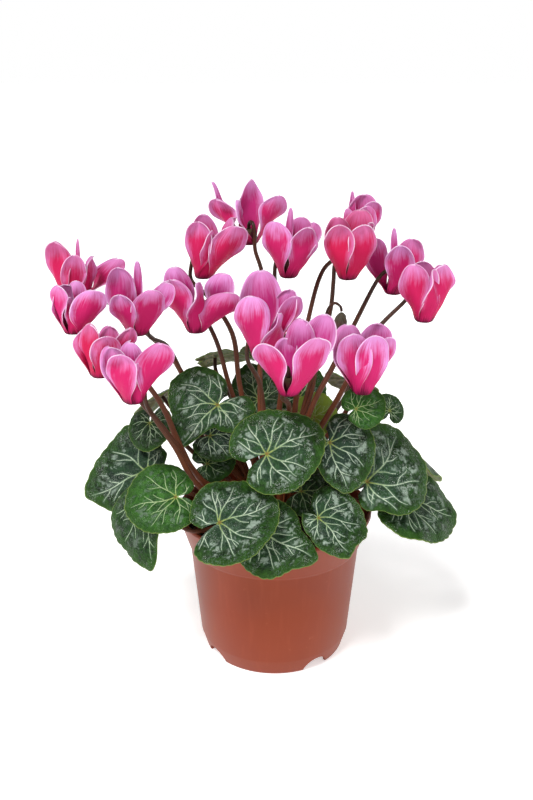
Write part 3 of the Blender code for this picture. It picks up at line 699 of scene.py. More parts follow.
@dataclass(frozen=True)
class LeafUnderside:
    """Lower face of a blade: pale and matt, flushed with red, lighter along the veins."""

    dark: int = 0x56673C
    light: int = 0x7C8A54
    flush: int = 0x6E3E32
    vein: int = 0x9E8A58
    rim: int = 0x86A03C

    def make(self) -> bpy.types.Material:
        """The material."""
        bench = NodeBench("leaf_underside_pale")
        _, x, y, reach = bench.attribute("place")
        _, _, _, near = bench.attribute("tone")
        seed = bench.noise(bench.local(), 6, 1)
        flat = bench.vector(x, y, bench.product(seed, 8.0))
        mottle = bench.noise(flat, 9, 3)
        base = bench.blend(bench.ease(mottle, 0.35, 0.65), self.dark, self.light)
        base = bench.blend(bench.product(bench.ease(seed, 0.45, 0.65), 0.55), base, self.flush)
        veined = bench.fade(near, 0.004, 0.022)
        base = bench.blend(bench.product(veined, 0.6), base, self.vein)
        base = bench.blend(bench.ease(reach, 0.965, 1.0), base, self.rim)
        height = bench.math("ADD", bench.product(mottle, 0.4), veined)
        return bench.dress(base, bench.scale(mottle, 0.5, 0.7), height, 0.4, Specular_IOR_Level=0.35)


class PetalSide(Enum):
    """Which side of a petal: (name, nose, claw, middle, margin, rim), colours as 0xRRGGBB; the rim is a
    painted highlight.
    """

    FACE = ("petal_face_silk", 0x3E061C, 0xC01E62, 0xC62468, 0xE09AD8, 0xF6DCF2)
    BACK = ("petal_back_silk", 0x3E0620, 0xAE1E60, 0xC03280, 0xE09CDA, 0xF6DEF4)


@dataclass(frozen=True)
class PetalSilk:
    """Silky petal: purple at the nose, hot pink claw, crimson middle, lilac margin, a pale rim of painted
    highlight, streaked.
    """

    side: PetalSide
    # Crimson of the painted glow of light shining through the petals
    red: int = 0xC0183A

    def make(self) -> bpy.types.Material:
        """The material."""
        name, nose, claw, middle, margin, rim = self.side.value
        bench = NodeBench(name)
        _, u, s, seed = bench.attribute("place")
        _, redness, pale, _ = bench.attribute("tone")
        side = bench.math("ABSOLUTE", s)
        streak = bench.noise(bench.vector(bench.product(s, 9.0), bench.product(u, 1.4), seed), 1.6, 3, 0.6)
        fine = bench.noise(bench.vector(bench.product(s, 36.0), bench.product(u, 3.0), seed), 1.4, 2)
        cloud = bench.noise(bench.vector(s, bench.product(u, 2.2), seed), 1.5, 3)
        shift = bench.wander(bench.wander(0.0, streak, 0.75), cloud, 0.7)
        run = bench.math("MULTIPLY_ADD", shift, 0.4, u)
        tone = bench.blend(bench.ease(run, 0.03, 0.23), nose, claw)
        by_middle = bench.fade(bench.math("ADD", side, shift), 0.3, 0.95)
        core = bench.product(bench.ease(run, 0.16, 0.42), by_middle)
        tone = bench.blend(core, tone, middle)
        # Painted glow: crimson laid over the claw and blade by the bloom's redness, for light shining through
        # the petals; further down the same redness holds back the lilac margin
        tone = bench.blend(bench.product(redness, bench.ease(u, 0.05, 0.2), 0.85), tone, self.red)
        ragged = bench.wander(shift, fine, 0.45)
        by_side = bench.ease(bench.math("ADD", side, ragged), 0.45, 1.0)
        flank = bench.product(by_side, bench.ease(run, 0.22, 0.6))
        crest = bench.ease(bench.math("MULTIPLY_ADD", ragged, 0.5, u), 0.62, 1.0)
        outer = bench.product(bench.math("MAXIMUM", flank, crest), bench.scale(pale, 0.6, 1.1),
                              bench.math("MULTIPLY_ADD", redness, -0.55, 1.0))
        tone = bench.blend(outer, tone, margin)
        tone = bench.blend(bench.product(bench.ease(fine, 0.5, 0.72), 0.3), tone, middle)
        # Painted highlight: the pale rim colour, in patches along the side edges and the tip, stands for
        # light caught on the thin edges
        edge = bench.math("MAXIMUM", bench.ease(side, 0.94, 1.0), bench.ease(u, 0.97, 1.0))
        patchy = bench.scale(bench.ease(cloud, 0.35, 0.6), 0.2, 0.75)
        tone = bench.blend(bench.product(edge, bench.ease(u, 0.1, 0.4), patchy), tone, rim)
        height = bench.math("ADD", streak, bench.product(fine, 0.6))
        return bench.dress(tone, bench.scale(streak, 0.45, 0.6), height, 0.15, Specular_IOR_Level=0.09)


@dataclass(frozen=True)
class TubeSkin:
    """The short tube of a bloom: crimson outside, dark maroon round the mouth."""

    lip: int = 0x2C0512
    wall: int = 0x4A0A22
    top: int = 0x5A1E26
    rib: int = 0x7A1A40

    def make(self) -> bpy.types.Material:
        """The material."""
        bench = NodeBench("bloom_tube_maroon")
        _, rise, turn, _ = bench.attribute("place")
        ribs = bench.noise(bench.vector(bench.product(turn, 12.0), rise, 0.0), 1.5, 2)
        tone = bench.blend(bench.ease(rise, 0.0, 0.35), self.lip, self.wall)
        tone = bench.blend(bench.ease(rise, 0.5, 1.0), tone, self.top)
        tone = bench.blend(bench.product(bench.ease(ribs, 0.45, 0.7), 0.4), tone, self.rib)
        return bench.dress(tone, bench.scale(ribs, 0.4, 0.6), ribs, 0.3)


@dataclass(frozen=True)
class SepalSkin:
    """Sepals and the furled bud: brown green, flushed with pink."""

    name: str
    green: int
    flush: int
    rib: int = 0x6A4A3A

    def make(self) -> bpy.types.Material:
        """The material."""
        bench = NodeBench(self.name)
        _, rise, turn, _ = bench.attribute("place")
        ribs = bench.noise(bench.vector(bench.product(turn, 10.0), rise, 0.0), 2.0, 3)
        tone = bench.blend(bench.ease(rise, 0.2, 0.9), self.green, self.flush)
        tone = bench.blend(bench.product(bench.ease(ribs, 0.4, 0.7), 0.5), tone, self.rib)
        return bench.dress(tone, bench.scale(ribs, 0.4, 0.6), ribs, 0.3)


@dataclass(frozen=True)
class StudioPaper:
    """White paper of the studio floor."""

    shade: int = 0xF6F6F6
    light: int = 0xFAFAFA

    def make(self) -> bpy.types.Material:
        """The material."""
        bench = NodeBench("studio_paper")
        grain = bench.noise(bench.local(), 300, 2)
        tone = bench.blend(grain, self.shade, self.light)
        return bench.dress(tone, 0.9, grain, 0.02, Specular_IOR_Level=0.1, Emission_Strength=0.5,
                           Emission_Color=(1.0, 1.0, 1.0, 1.0))


# ---------------------------------------------------------------- pot and soil

@dataclass
class Pot:
    """A thin turned pot: flared collar, tapered body, notched foot ring, drained floor. Sizes in mm."""

    rim_radius: float = 60.0
    height: float = 92.5
    collar: float = 22.0
    collar_foot_radius: float = 53.4
    body_top_radius: float = 52.6
    body_foot_radius: float = 47.0
    foot_height: float = 11.0
    foot_radius: float = 43.5
    wall: float = 1.6
    floor_top: float = 10.6
    floor_under: float = 9.0
    sides: int = 168
    feet: int = 4
    notch_radius: float = 9.0
    notch_sink: float = 1.5
    notch_turn: float = 35.0
    notch_depth: float = 16.0
    drain_radius: float = 3.5
    drain_ring: float = 27.0
    drain_depth: float = 8.0
    sharp_past: float = 35.0

    def outer_radius(self, z: float) -> float:
        """Outer radius of the wall at a height, straight from edge to edge of collar and body."""
        foot = self.height - self.collar
        if z >= foot:
            flare = self.rim_radius - self.collar_foot_radius
            return self.collar_foot_radius + flare * (z - foot) / self.collar
        share = (z - self.foot_height) / (foot - self.foot_height)
        return self.body_foot_radius + (self.body_top_radius - self.body_foot_radius) * share

    def profile(self) -> np.ndarray:
        """(radius, height) from the middle of the floor up inside, over the rim and down outside."""
        foot = self.height - self.collar
        top, rim = self.height, self.rim_radius
        levels = (self.floor_top + 1.5, foot - 0.5, foot + 0.8, top - 3.0)
        points = [
            (0.0, self.floor_top), (20.0, self.floor_top), (self.body_foot_radius - 3.2, self.floor_top),
            *((self.outer_radius(z) - self.wall, z) for z in levels),
            (rim - 2.4, top - 0.9), (rim - 1.9, top - 0.2), (rim - 1.1, top), (rim - 0.4, top - 0.25),
            (rim, top - 0.9), (rim - 0.05, top - 2.0), (rim - 0.6, top - 2.7),
            (self.collar_foot_radius + 0.3, foot + 1.4), (self.collar_foot_radius - 0.1, foot + 0.7),
            (self.body_top_radius + 0.1, foot - 0.1), (self.body_top_radius - 0.1, foot - 0.8),
            (49.8, 41.0), (self.body_foot_radius, self.foot_height), (self.body_foot_radius - 0.5, 9.7),
            (self.foot_radius + 0.5, 1.2), (self.foot_radius, 0.35), (self.foot_radius - 0.5, 0.0),
            (self.foot_radius - 2.0, 0.0), (self.foot_radius - 2.4, 0.4), (self.foot_radius - 1.0, 8.3),
            (self.foot_radius - 1.8, self.floor_under), (20.0, self.floor_under), (0.0, self.floor_under),
        ]
        return np.array(points)

    def cut(self, thing: bpy.types.Object) -> None:
        """Cut the arches between the feet and the drains out of the turned shell.

        Args:
            thing: the shell; its mesh is replaced.
        """
        cutters = bpy.data.collections.new("cutters")
        bpy.context.scene.collection.children.link(cutters)
        for k in range(self.feet):
            outward = Vector(heading(self.notch_turn + 360 / self.feet * k))
            turn = outward.to_track_quat("Z", "Y").to_matrix().to_4x4()
            arch = Matrix.Translation(outward * self.foot_radius - Vector(UP) * self.notch_sink) @ turn
            drain = Matrix.Translation(outward * self.drain_ring + Vector(UP) * self.floor_under)
            for place, radius, depth, steps in ((arch, self.notch_radius, self.notch_depth, 40),
                                                (drain, self.drain_radius, self.drain_depth, 32)):
                bm = bmesh.new()
                bmesh.ops.create_cone(bm, cap_ends=True, segments=steps, radius1=radius, radius2=radius,
                                      depth=depth, matrix=Matrix.Translation(Vector(POT_AXIS)) @ place)
                bmesh.ops.scale(bm, vec=(MM, MM, MM), verts=bm.verts)
                mesh = bpy.data.meshes.new("cutter")
                bm.to_mesh(mesh)
                bm.free()
                cutters.objects.link(bpy.data.objects.new("cutter", mesh))
        step = thing.modifiers.new("cut", "BOOLEAN")
        step.operation = "DIFFERENCE"
        step.operand_type = "COLLECTION"
        step.collection = cutters
        bpy.context.view_layer.update()
        whole = bpy.data.meshes.new_from_object(thing.evaluated_get(bpy.context.evaluated_depsgraph_get()))
        thing.modifiers.clear()
        thing.data = whole
        for cutter in list(cutters.objects):
            bpy.data.objects.remove(cutter, do_unlink=True)
        bpy.data.collections.remove(cutters)

    def build(self) -> Piece:
        """Turn the shell, cut it and shade its edges sharp."""
        profile = self.profile()
        skin = Skin()
        grid = lathe(profile[1:-1], self.sides, np.zeros(3))
        skin.add_grid(grid, grid, (0, 0, 0), wrap=True,
                      start=(0, 0, profile[0, 1]), end=(0, 0, profile[-1, 1]))
        thing = skin.make("pot_shell", [PotPlastic().make()])
        self.cut(thing)
        thing.data.shade_smooth()
        thing.data.set_sharp_from_angle(angle=math.radians(self.sharp_past))
        return Piece(thing, ("pot",), "pot_plastic")


@dataclass
class Tuber:
    """The flattened tuber that every stalk grows from, mm."""

    radius: float = 17.0
    top: float = 87.0
    widest: float = 80.0
    bottom: float = 68.0
    crown_z: float = 82.0
    crown_exit: float = 3.0
    crown_spread: float = 1.15
    petiole_ring: float = 10.0
    flower_ring: float = 6.0

    def profile(self, rows: int, grow: float = 0.0) -> np.ndarray:
        """(radius, height) from top to bottom: two half ellipses that meet where it is widest."""
        angle = np.linspace(0, math.pi, rows)
        half = np.where(angle < math.pi / 2, self.top - self.widest, self.widest - self.bottom)
        return together((self.radius + grow) * np.sin(angle), self.widest + (half + grow) * np.cos(angle))

    def add(self, skin: Skin, finish: int) -> None:
        """Add its knobbly surface: the profile's radius times 1 + sines of its turn and height."""
        profile = self.profile(26)
        grid = lathe(profile[1:-1], 64, np.zeros(3))
        x, y, z = np.moveaxis(grid, -1, 0)
        turn = np.arctan2(y, x)
        knobs = 1 + 0.02 * np.sin(5 * turn + 0.4 * z) + 0.015 * np.sin(11 * turn - 0.9 * z)
        grid = together(x * knobs, y * knobs, z)
        skin.add_grid(grid, grid / 20, (0, 0, 0), finish, wrap=True,
                      start=(0, 0, self.top), end=(0, 0, self.bottom))


@dataclass
class Soil:
    """The filled body of soil: uneven and crumbly on top, cupped round the tuber, just clear of the pot."""

    pot: Pot
    tuber: Tuber
    top: float = 83.0
    clear: float = 2.3
    tuber_gap: float = 0.7
    floor_gap: float = 0.3
    sides: int = 150
    crumbs: int = 620
    fibres: int = 70

    @staticmethod
    def relief(x: np.ndarray, y: np.ndarray) -> np.ndarray:
        """Height over the mean level: two broad waves and three fine ones of falling size, mm."""
        broad = 0.9 * np.sin(0.31 * x + 1.3) * np.cos(0.27 * y) - 0.5
        broad = broad + 0.6 * np.sin(0.53 * y - 0.21 * x + 0.4)
        fine = 0.35 * np.sin(1.3 * x + 0.8 * y) + 0.3 * np.sin(1.9 * y - 1.1 * x + 2) * np.cos(0.9 * x)
        return broad + fine + 0.2 * np.sin(3.7 * x + 1.7 * y) * np.sin(2.9 * y)

    def build(self, rng: np.random.Generator) -> Piece:
        """Turn the body, lift its top by the relief, and scatter crumbs and root fibres on it.

        Args:
            rng: where the crumbs and fibres fall.

        Returns:
            The soil.
        """
        cup = self.tuber.profile(17, self.tuber_gap)[::-1]
        cup = cup[(cup[:, 1] < self.tuber.widest + 0.1) & (cup[:, 0] > 0.1)]
        inside = cup[-1, 0] + 0.3
        edge = self.pot.outer_radius(self.top - 2) - self.clear
        across = np.linspace(inside, edge, 34)
        top = together(across, self.top)
        low = self.pot.floor_top + self.floor_gap
        levels = (self.pot.height - self.pot.collar, 50.0, 30.0, low + 1.0)
        sides = np.array([(self.pot.outer_radius(z) - self.clear - 0.2, z) for z in levels])
        profile = np.vstack([cup, top, sides, [(sides[-1, 0] - 1.0, low), (20.0, low)]])
        grid = lathe(profile, self.sides, np.zeros(3))
        x, y, z = np.moveaxis(grid, -1, 0)
        lift = (z > self.top - 0.1) * ease(np.hypot(x, y), inside, inside + 1.5)
        grid[..., 2] += lift * self.relief(x, y)
        skin = Skin()
        skin.add_grid(grid, grid, (0, 0, 0), wrap=True,
                      start=(0, 0, self.tuber.bottom - self.tuber_gap), end=(0, 0, low))
        self.scatter(skin, rng, inside + 1, edge - 2.5)
        return Piece(skin.make("soil_surface", [PottingSoil().make()]), ("soil",), "potting_soil")

    def scatter(self, skin: Skin, rng: np.random.Generator, inside: float, edge: float) -> None:
        """Lay crumbs and fibres on the top.

        A crumb is a small lumpy ellipsoid; a fibre is a thin bent tube.

        Args:
            skin: what they are added to.
            rng: random numbers.
            inside: least distance from the axis.
            edge: greatest distance from the axis.
        """
        latitude = np.linspace(0, math.pi, 5)[1:-1]
        ball = together(np.sin(latitude), np.cos(latitude))
        for _ in range(self.crumbs):
            distance = math.sqrt(rng.uniform(inside ** 2, edge ** 2))
            spot = heading(rng.uniform(0, 360)) * distance
            size = rng.uniform(0.5, 1.9) * rng.uniform(0.6, 1.0, 3)
            spot[2] = self.top + float(self.relief(spot[0], spot[1])) + size[2] * 0.2
            lumps = rng.uniform(0.8, 1.15, (3, 6, 1))
            grid = lathe(ball, 6, np.zeros(3)) * lumps * size + spot
            kind = float(rng.uniform() < 0.12)
            skin.add_grid(grid, grid, (kind, 0, 0), wrap=True,
                          start=spot + UP * size[2], end=spot - UP * size[2])
        for _ in range(self.fibres):
            distance = math.sqrt(rng.uniform(inside ** 2, (edge - 2) ** 2))
            spot = heading(rng.uniform(0, 360)) * distance
            way = heading(rng.uniform(0, 360), rng.uniform(0, 20))
            bend = heading(rng.uniform(0, 360)) * rng.uniform(-1.2, 1.2)
            t = np.linspace(0, 1, 7)[:, None]
            line = spot + way * rng.uniform(2, 5) * t + bend * np.sin(math.pi * t)
            inner = np.minimum(1, edge / np.hypot(line[:, 0], line[:, 1]))[:, None]
            line[:, :2] *= inner
            line[:, 2] += self.top + self.relief(line[:, 0], line[:, 1]) + 0.5
            grid = sweep(line, np.full(7, 0.14), 4)
            skin.add_grid(grid, grid, (0.95, 0, 0), wrap=True, flip=True, start=line[0], end=line[-1])


# ---------------------------------------------------------------- leaves

@dataclass(frozen=True)
class Leaf:
    """A blade: where its petiole meets it, which way it faces, and where its tip points in its plane.

    The petiole arches, runs in square to the blade, and ends a little under it, all in mm.
    """

    junction: tuple
    facing: float
    tilt: float
    spin: float
    length: float
    outline: tuple = HEART
    wave: float = 0.04
    via: tuple = ()
    tint: Tint = Tint.SILVERED
    arch: float = 4.0
    run_in: float = 9.0
    sunk: float = 0.45

    def axes(self) -> tuple[np.ndarray, np.ndarray, np.ndarray]:
        """Unit vectors: ahead to the tip, across, and the upper face's normal."""
        normal = heading(self.facing, self.tilt)
        level = heading(self.facing + 90)
        uphill = np.cross(normal, level)
        spin = math.radians(self.spin)
        ahead = level * math.cos(spin) + uphill * math.sin(spin)
        return ahead, np.cross(normal, ahead), normal

    def petiole(self) -> np.ndarray:
        """From the crown, arching out, to just under the junction, square to the blade."""
        junction = np.array(self.junction, dtype=float)
        normal = self.axes()[2]
        start = crown_start(self.via[0] if self.via else junction, Tuber.petiole_ring)
        middle = list(self.via) or [(start[1] + junction) / 2 + UP * self.arch]
        end = [junction - normal * self.run_in, junction - normal * self.sunk]
        return smooth_route(start + middle + end, 7)


@dataclass(frozen=True)
class Vein:
    """One vein: its course in the blade's plane in shares of the length, and its half widths in mm."""

    course: np.ndarray
    halves: tuple[float, float]


@dataclass
class BladeForm:
    """The surface of one blade, with its margin, ripples and veins.

    The half turn, the rounding, the veins' wander and how far they keep from the notch are in degrees.
    """

    leaf: Leaf
    rng: np.random.Generator
    half_turn: float = 167.0
    columns: int = 161
    rounding: float = 4.5
    scallops: int = 17
    wander: float = 11.0
    notch_clear: float = 5.0

    def __post_init__(self) -> None:
        """Draw the margin, then lay the veins."""
        self.at = np.linspace(-self.half_turn, self.half_turn, self.columns)
        self.margin = self.draw_margin()
        self.phases = self.rng.uniform(0, math.tau, 4)
        self.veins = self.lay_veins()
        fresh, silver = self.leaf.tint.value
        self.tint = (fresh + self.rng.uniform(-0.05, 0.25), silver * self.rng.uniform(0.6, 1.1))
        ribs = [vein.course for vein in self.veins if len(vein.course) > 5]
        self.starts = np.concatenate([rib[:-1] for rib in ribs])
        self.spans = np.concatenate([np.diff(rib, axis=0) for rib in ribs])

    def draw_margin(self) -> np.ndarray:
        """Distance from the junction to the margin in each column, as a share of the length.

        The outline's straight stretches are rounded by a bell, the lobes by the notch are rounded off,
        and scallops of uneven depth are added.
        """
        angles, shares = zip(*self.leaf.outline)
        wide = np.linspace(-12, 12, 25)
        bell = np.exp(-(wide / self.rounding) ** 2)
        bell /= bell.sum()
        rounded = (np.interp(self.at[:, None] + wide, angles, shares) * bell).sum(axis=1)
        lobe = 0.6 + 0.4 * ease(self.half_turn - np.abs(self.at), -5.0, 20.0)
        depth = 0.02 * np.interp(self.at, np.linspace(-175, 175, 14), self.rng.uniform(0.5, 1.3, 14))
        teeth = np.abs(np.sin(np.radians(self.at) * self.scallops + self.rng.uniform(0, 3)))
        return rounded * lobe * (1 + depth * (teeth - 0.6))

    def reach(self, x: np.ndarray, y: np.ndarray) -> np.ndarray:
        """Distance from the junction as a share of the distance to the margin in that direction."""
        return np.hypot(x, y) / np.interp(np.degrees(np.arctan2(y, x)), self.at, self.margin)

    def course(self, start: np.ndarray, way: float, length: float, bend: float, steps: int) -> np.ndarray:
        """A vein's course: out one way in degrees, turned by a bend, wandering, inside margin and notch."""
        share = np.linspace(0, 1, steps)
        turn = np.radians(way + bend * share + self.wander * np.sin(7 * share + self.rng.uniform(0, 6)))
        run = together(np.cos(turn), np.sin(turn)) * length / (steps - 1)
        points = np.vstack([start, start + np.cumsum(run[:-1], axis=0)])
        x, y = points.T
        clear = np.abs(np.degrees(np.arctan2(y, x))) < self.half_turn - self.notch_clear
        return points[clear & (self.reach(x, y) < 0.93)]

    def fork(self, rib: np.ndarray, share: float, side: float, length: float, size: float) -> list[Vein]:
        """A twig that leaves a rib to one side, with a short fork at its end."""
        k = int(share * (len(rib) - 2))
        ahead = math.degrees(math.atan2(*(rib[k + 1] - rib[k])[::-1]))
        way = ahead + side * self.rng.uniform(36, 50)
        twig = self.course(rib[k], way, length, -side * self.rng.uniform(5, 25), 8)
        veins = [Vein(twig, (size, size * 0.5))]
        if len(twig) > 6 and self.leaf.length > 22:
            end = math.degrees(math.atan2(*(twig[-1] - twig[-2])[::-1]))
            for turn in (-34, 30):
                tip_length = length * self.rng.uniform(0.25, 0.45)
                tip = self.course(twig[-1], end + turn, tip_length, turn * 0.3, 5)
                veins.append(Vein(tip, (size * 0.5, size * 0.3)))
        return veins

    def lay_veins(self) -> list[Vein]:
        """A midrib to the tip, side ribs that fan from the junction, and twigs that fork from them all."""
        rng = self.rng
        size = 0.16 + 0.009 * self.leaf.length
        midrib = self.course(np.zeros(2), rng.uniform(-3, 3), 0.95, rng.uniform(-5, 5), 14)
        veins = [Vein(midrib, (size, size * 0.4))]
        for share, side in ((0.24, 1), (0.36, -1), (0.5, 1), (0.62, -1), (0.76, 1)):
            reach = (0.42 - 0.32 * share) * rng.uniform(0.8, 1.2)
            veins += self.fork(midrib, share, side, reach, size * 0.66)
        for angle in (44.0, 88.0, 134.0):
            for side in (-1, 1):
                way = side * angle * rng.uniform(0.9, 1.1)
                length = 0.84 * float(np.interp(way, self.at, self.margin))
                rib = self.course(np.zeros(2), way * 1.15, length, -way * rng.uniform(0.2, 0.45), 12)
                veins.append(Vein(rib, (size * 0.85, size * 0.4)))
                if len(rib) > 6:
                    veins += self.fork(rib, rng.uniform(0.3, 0.42), side, length * 0.5, size * 0.6)
                    veins += self.fork(rib, rng.uniform(0.5, 0.66), -side, length * 0.36, size * 0.55)
        return [vein for vein in veins if len(vein.course) > 3]

    def nearness(self, x: np.ndarray, y: np.ndarray) -> np.ndarray:
        """Distance to the nearest vein's segment, as a share of the length."""
        at = together(x, y)[..., None, :] - self.starts
        share = np.clip((at * self.spans).sum(-1) / np.maximum((self.spans ** 2).sum(-1), 1e-9), 0, 1)
        return np.linalg.norm(at - share[..., None] * self.spans, axis=-1).min(axis=-1)

    def points(self, x: np.ndarray, y: np.ndarray, near: np.ndarray) -> np.ndarray:
        """Places on the surface, mm.

        Height over the plane as a share of the length: a bow of -0.10 reach^2, a fold of
        0.07 reach |sin a|, a wave and fine ripples of the margin, quilting that rises away from the
        veins, and shallow dimples.

        Args:
            x: place ahead of the junction.
            y: place across it.
            near: distance to the nearest vein.

        Returns:
            An array of points.
        """
        leaf = self.leaf
        ahead, across, normal = leaf.axes()
        a = np.arctan2(y, x)
        reach = self.reach(x, y)
        p = self.phases
        bow = -0.10 * reach ** 2 + 0.07 * reach * np.abs(np.sin(a))
        phase = leaf.junction[0] * 0.7 + leaf.junction[1] * 0.4
        wave = leaf.wave * reach ** 2 * np.sin(3 * a + phase)
        ripple = 0.028 * reach ** 4 * np.sin(7 * a + p[0]) * np.sin(2 * a + p[1])
        inner = ease(reach, 0.0, 0.25) * (1 - ease(reach, 0.7, 1.0))
        quilt = 0.026 * (1 - np.exp(-(near / 0.055) ** 2)) * inner
        dimple = 0.012 * reach * np.sin(9 * x + p[2]) * np.sin(9 * y + p[3])
        height = bow + wave + ripple + quilt + dimple
        flat = ahead * x[..., None] + across * y[..., None] + normal * height[..., None]
        return np.array(leaf.junction) + leaf.length * flat


@dataclass
class Blades:
    """Builds the blades: polar grids round their junctions, open at the notch, with raised veins."""

    thickness: float = 0.6
    vein_sides: int = 6
    rows: int = 21

    def build(self, name: str, leaf: Leaf, rng: np.random.Generator,
              finishes: list[bpy.types.Material], node: str) -> list[Piece]:
        """Build one blade and its veins.

        Args:
            name: the piece's name.
            leaf: the blade's place and form.
            rng: what makes it its own.
            finishes: upper face, lower face, vein.
            node: what it stands for.

        Returns:
            The blade, and its veins.
        """
        form = BladeForm(leaf, rng)
        a = np.radians(form.at)[None, :]
        reach = np.append(np.linspace(0.04, 0.965, self.rows), 1.0)[:, None] * np.ones_like(a)
        radius = form.margin[None, :] * reach
        x, y = radius * np.cos(a), radius * np.sin(a)
        near = form.nearness(x, y)
        skin = Skin()
        skin.add_grid(form.points(x, y, near), together(x, y, reach), together(*form.tint, near),
                      start=np.array(leaf.junction, dtype=float))
        blade = skin.make(name, finishes[:2])
        thicken(blade, self.thickness, 1)
        beads = Skin()
        for vein in form.veins:
            self.bead(beads, form, vein)
        veins = beads.make(f"{name}_veins", finishes[2:])
        return [Piece(blade, (node,), "leaf_skin"), Piece(veins, (), "leaf_skin")]

    def bead(self, skin: Skin, form: BladeForm, vein: Vein) -> None:
        """Add a vein as a low bead half sunk in the upper face.

        A point of its section is: centre + sideways * w cos b + normal * 0.5 w sin b.

        Args:
            skin: what it is added to.
            form: the blade it lies on.
            vein: its course and size.
        """
        x, y = vein.course.T
        normal = form.leaf.axes()[2]
        share = np.linspace(0, 1, len(x))
        half = vein.halves[0] + (vein.halves[1] - vein.halves[0]) * share
        line = form.points(x, y, np.zeros_like(x)) + normal * (self.thickness * 0.5 + 0.15 * half[:, None])
        ahead = np.gradient(line, axis=0)
        sideways = np.cross(normal, ahead)
        sideways /= np.linalg.norm(sideways, axis=1)[:, None]
        b = np.linspace(0, math.tau, self.vein_sides, endpoint=False)[None, :, None]
        ring = np.cos(b) * sideways[:, None, :] + 0.5 * np.sin(b) * normal
        grid = line[:, None, :] + ring * half[:, None, None]
        around = np.ones(self.vein_sides)
        place = together(x[:, None], y[:, None], np.outer(share, around))
        tone = together(*form.tint, np.outer(form.reach(x, y), around))
        skin.add_grid(grid, place, tone, wrap=True, flip=True, start=line[0], end=line[-1])


# ---------------------------------------------------------------- blooms

@dataclass(frozen=True)
class Bloom:
    """A nodding bloom: its nose, the side its stalk hooks in from, its five turned-back petals, its stalk."""

    nose: tuple
    side: float
    petals: tuple
    via: tuple = ()
    hook: tuple = BENT
    # Share of crimson: a painted glow of light shining through the petals
    redness: float = 0.0

    def stalk(self) -> np.ndarray:
        """From the crown up past the nose, hooked over between two petals and down on to the calyx."""
        nose = np.array(self.nose, dtype=float)
        side = heading(self.side)
        end = [nose + side * out + UP * rise for out, rise in self.hook]
        return smooth_route([*crown_start(self.via[0], Tuber.flower_ring), *self.via, *end], 6)


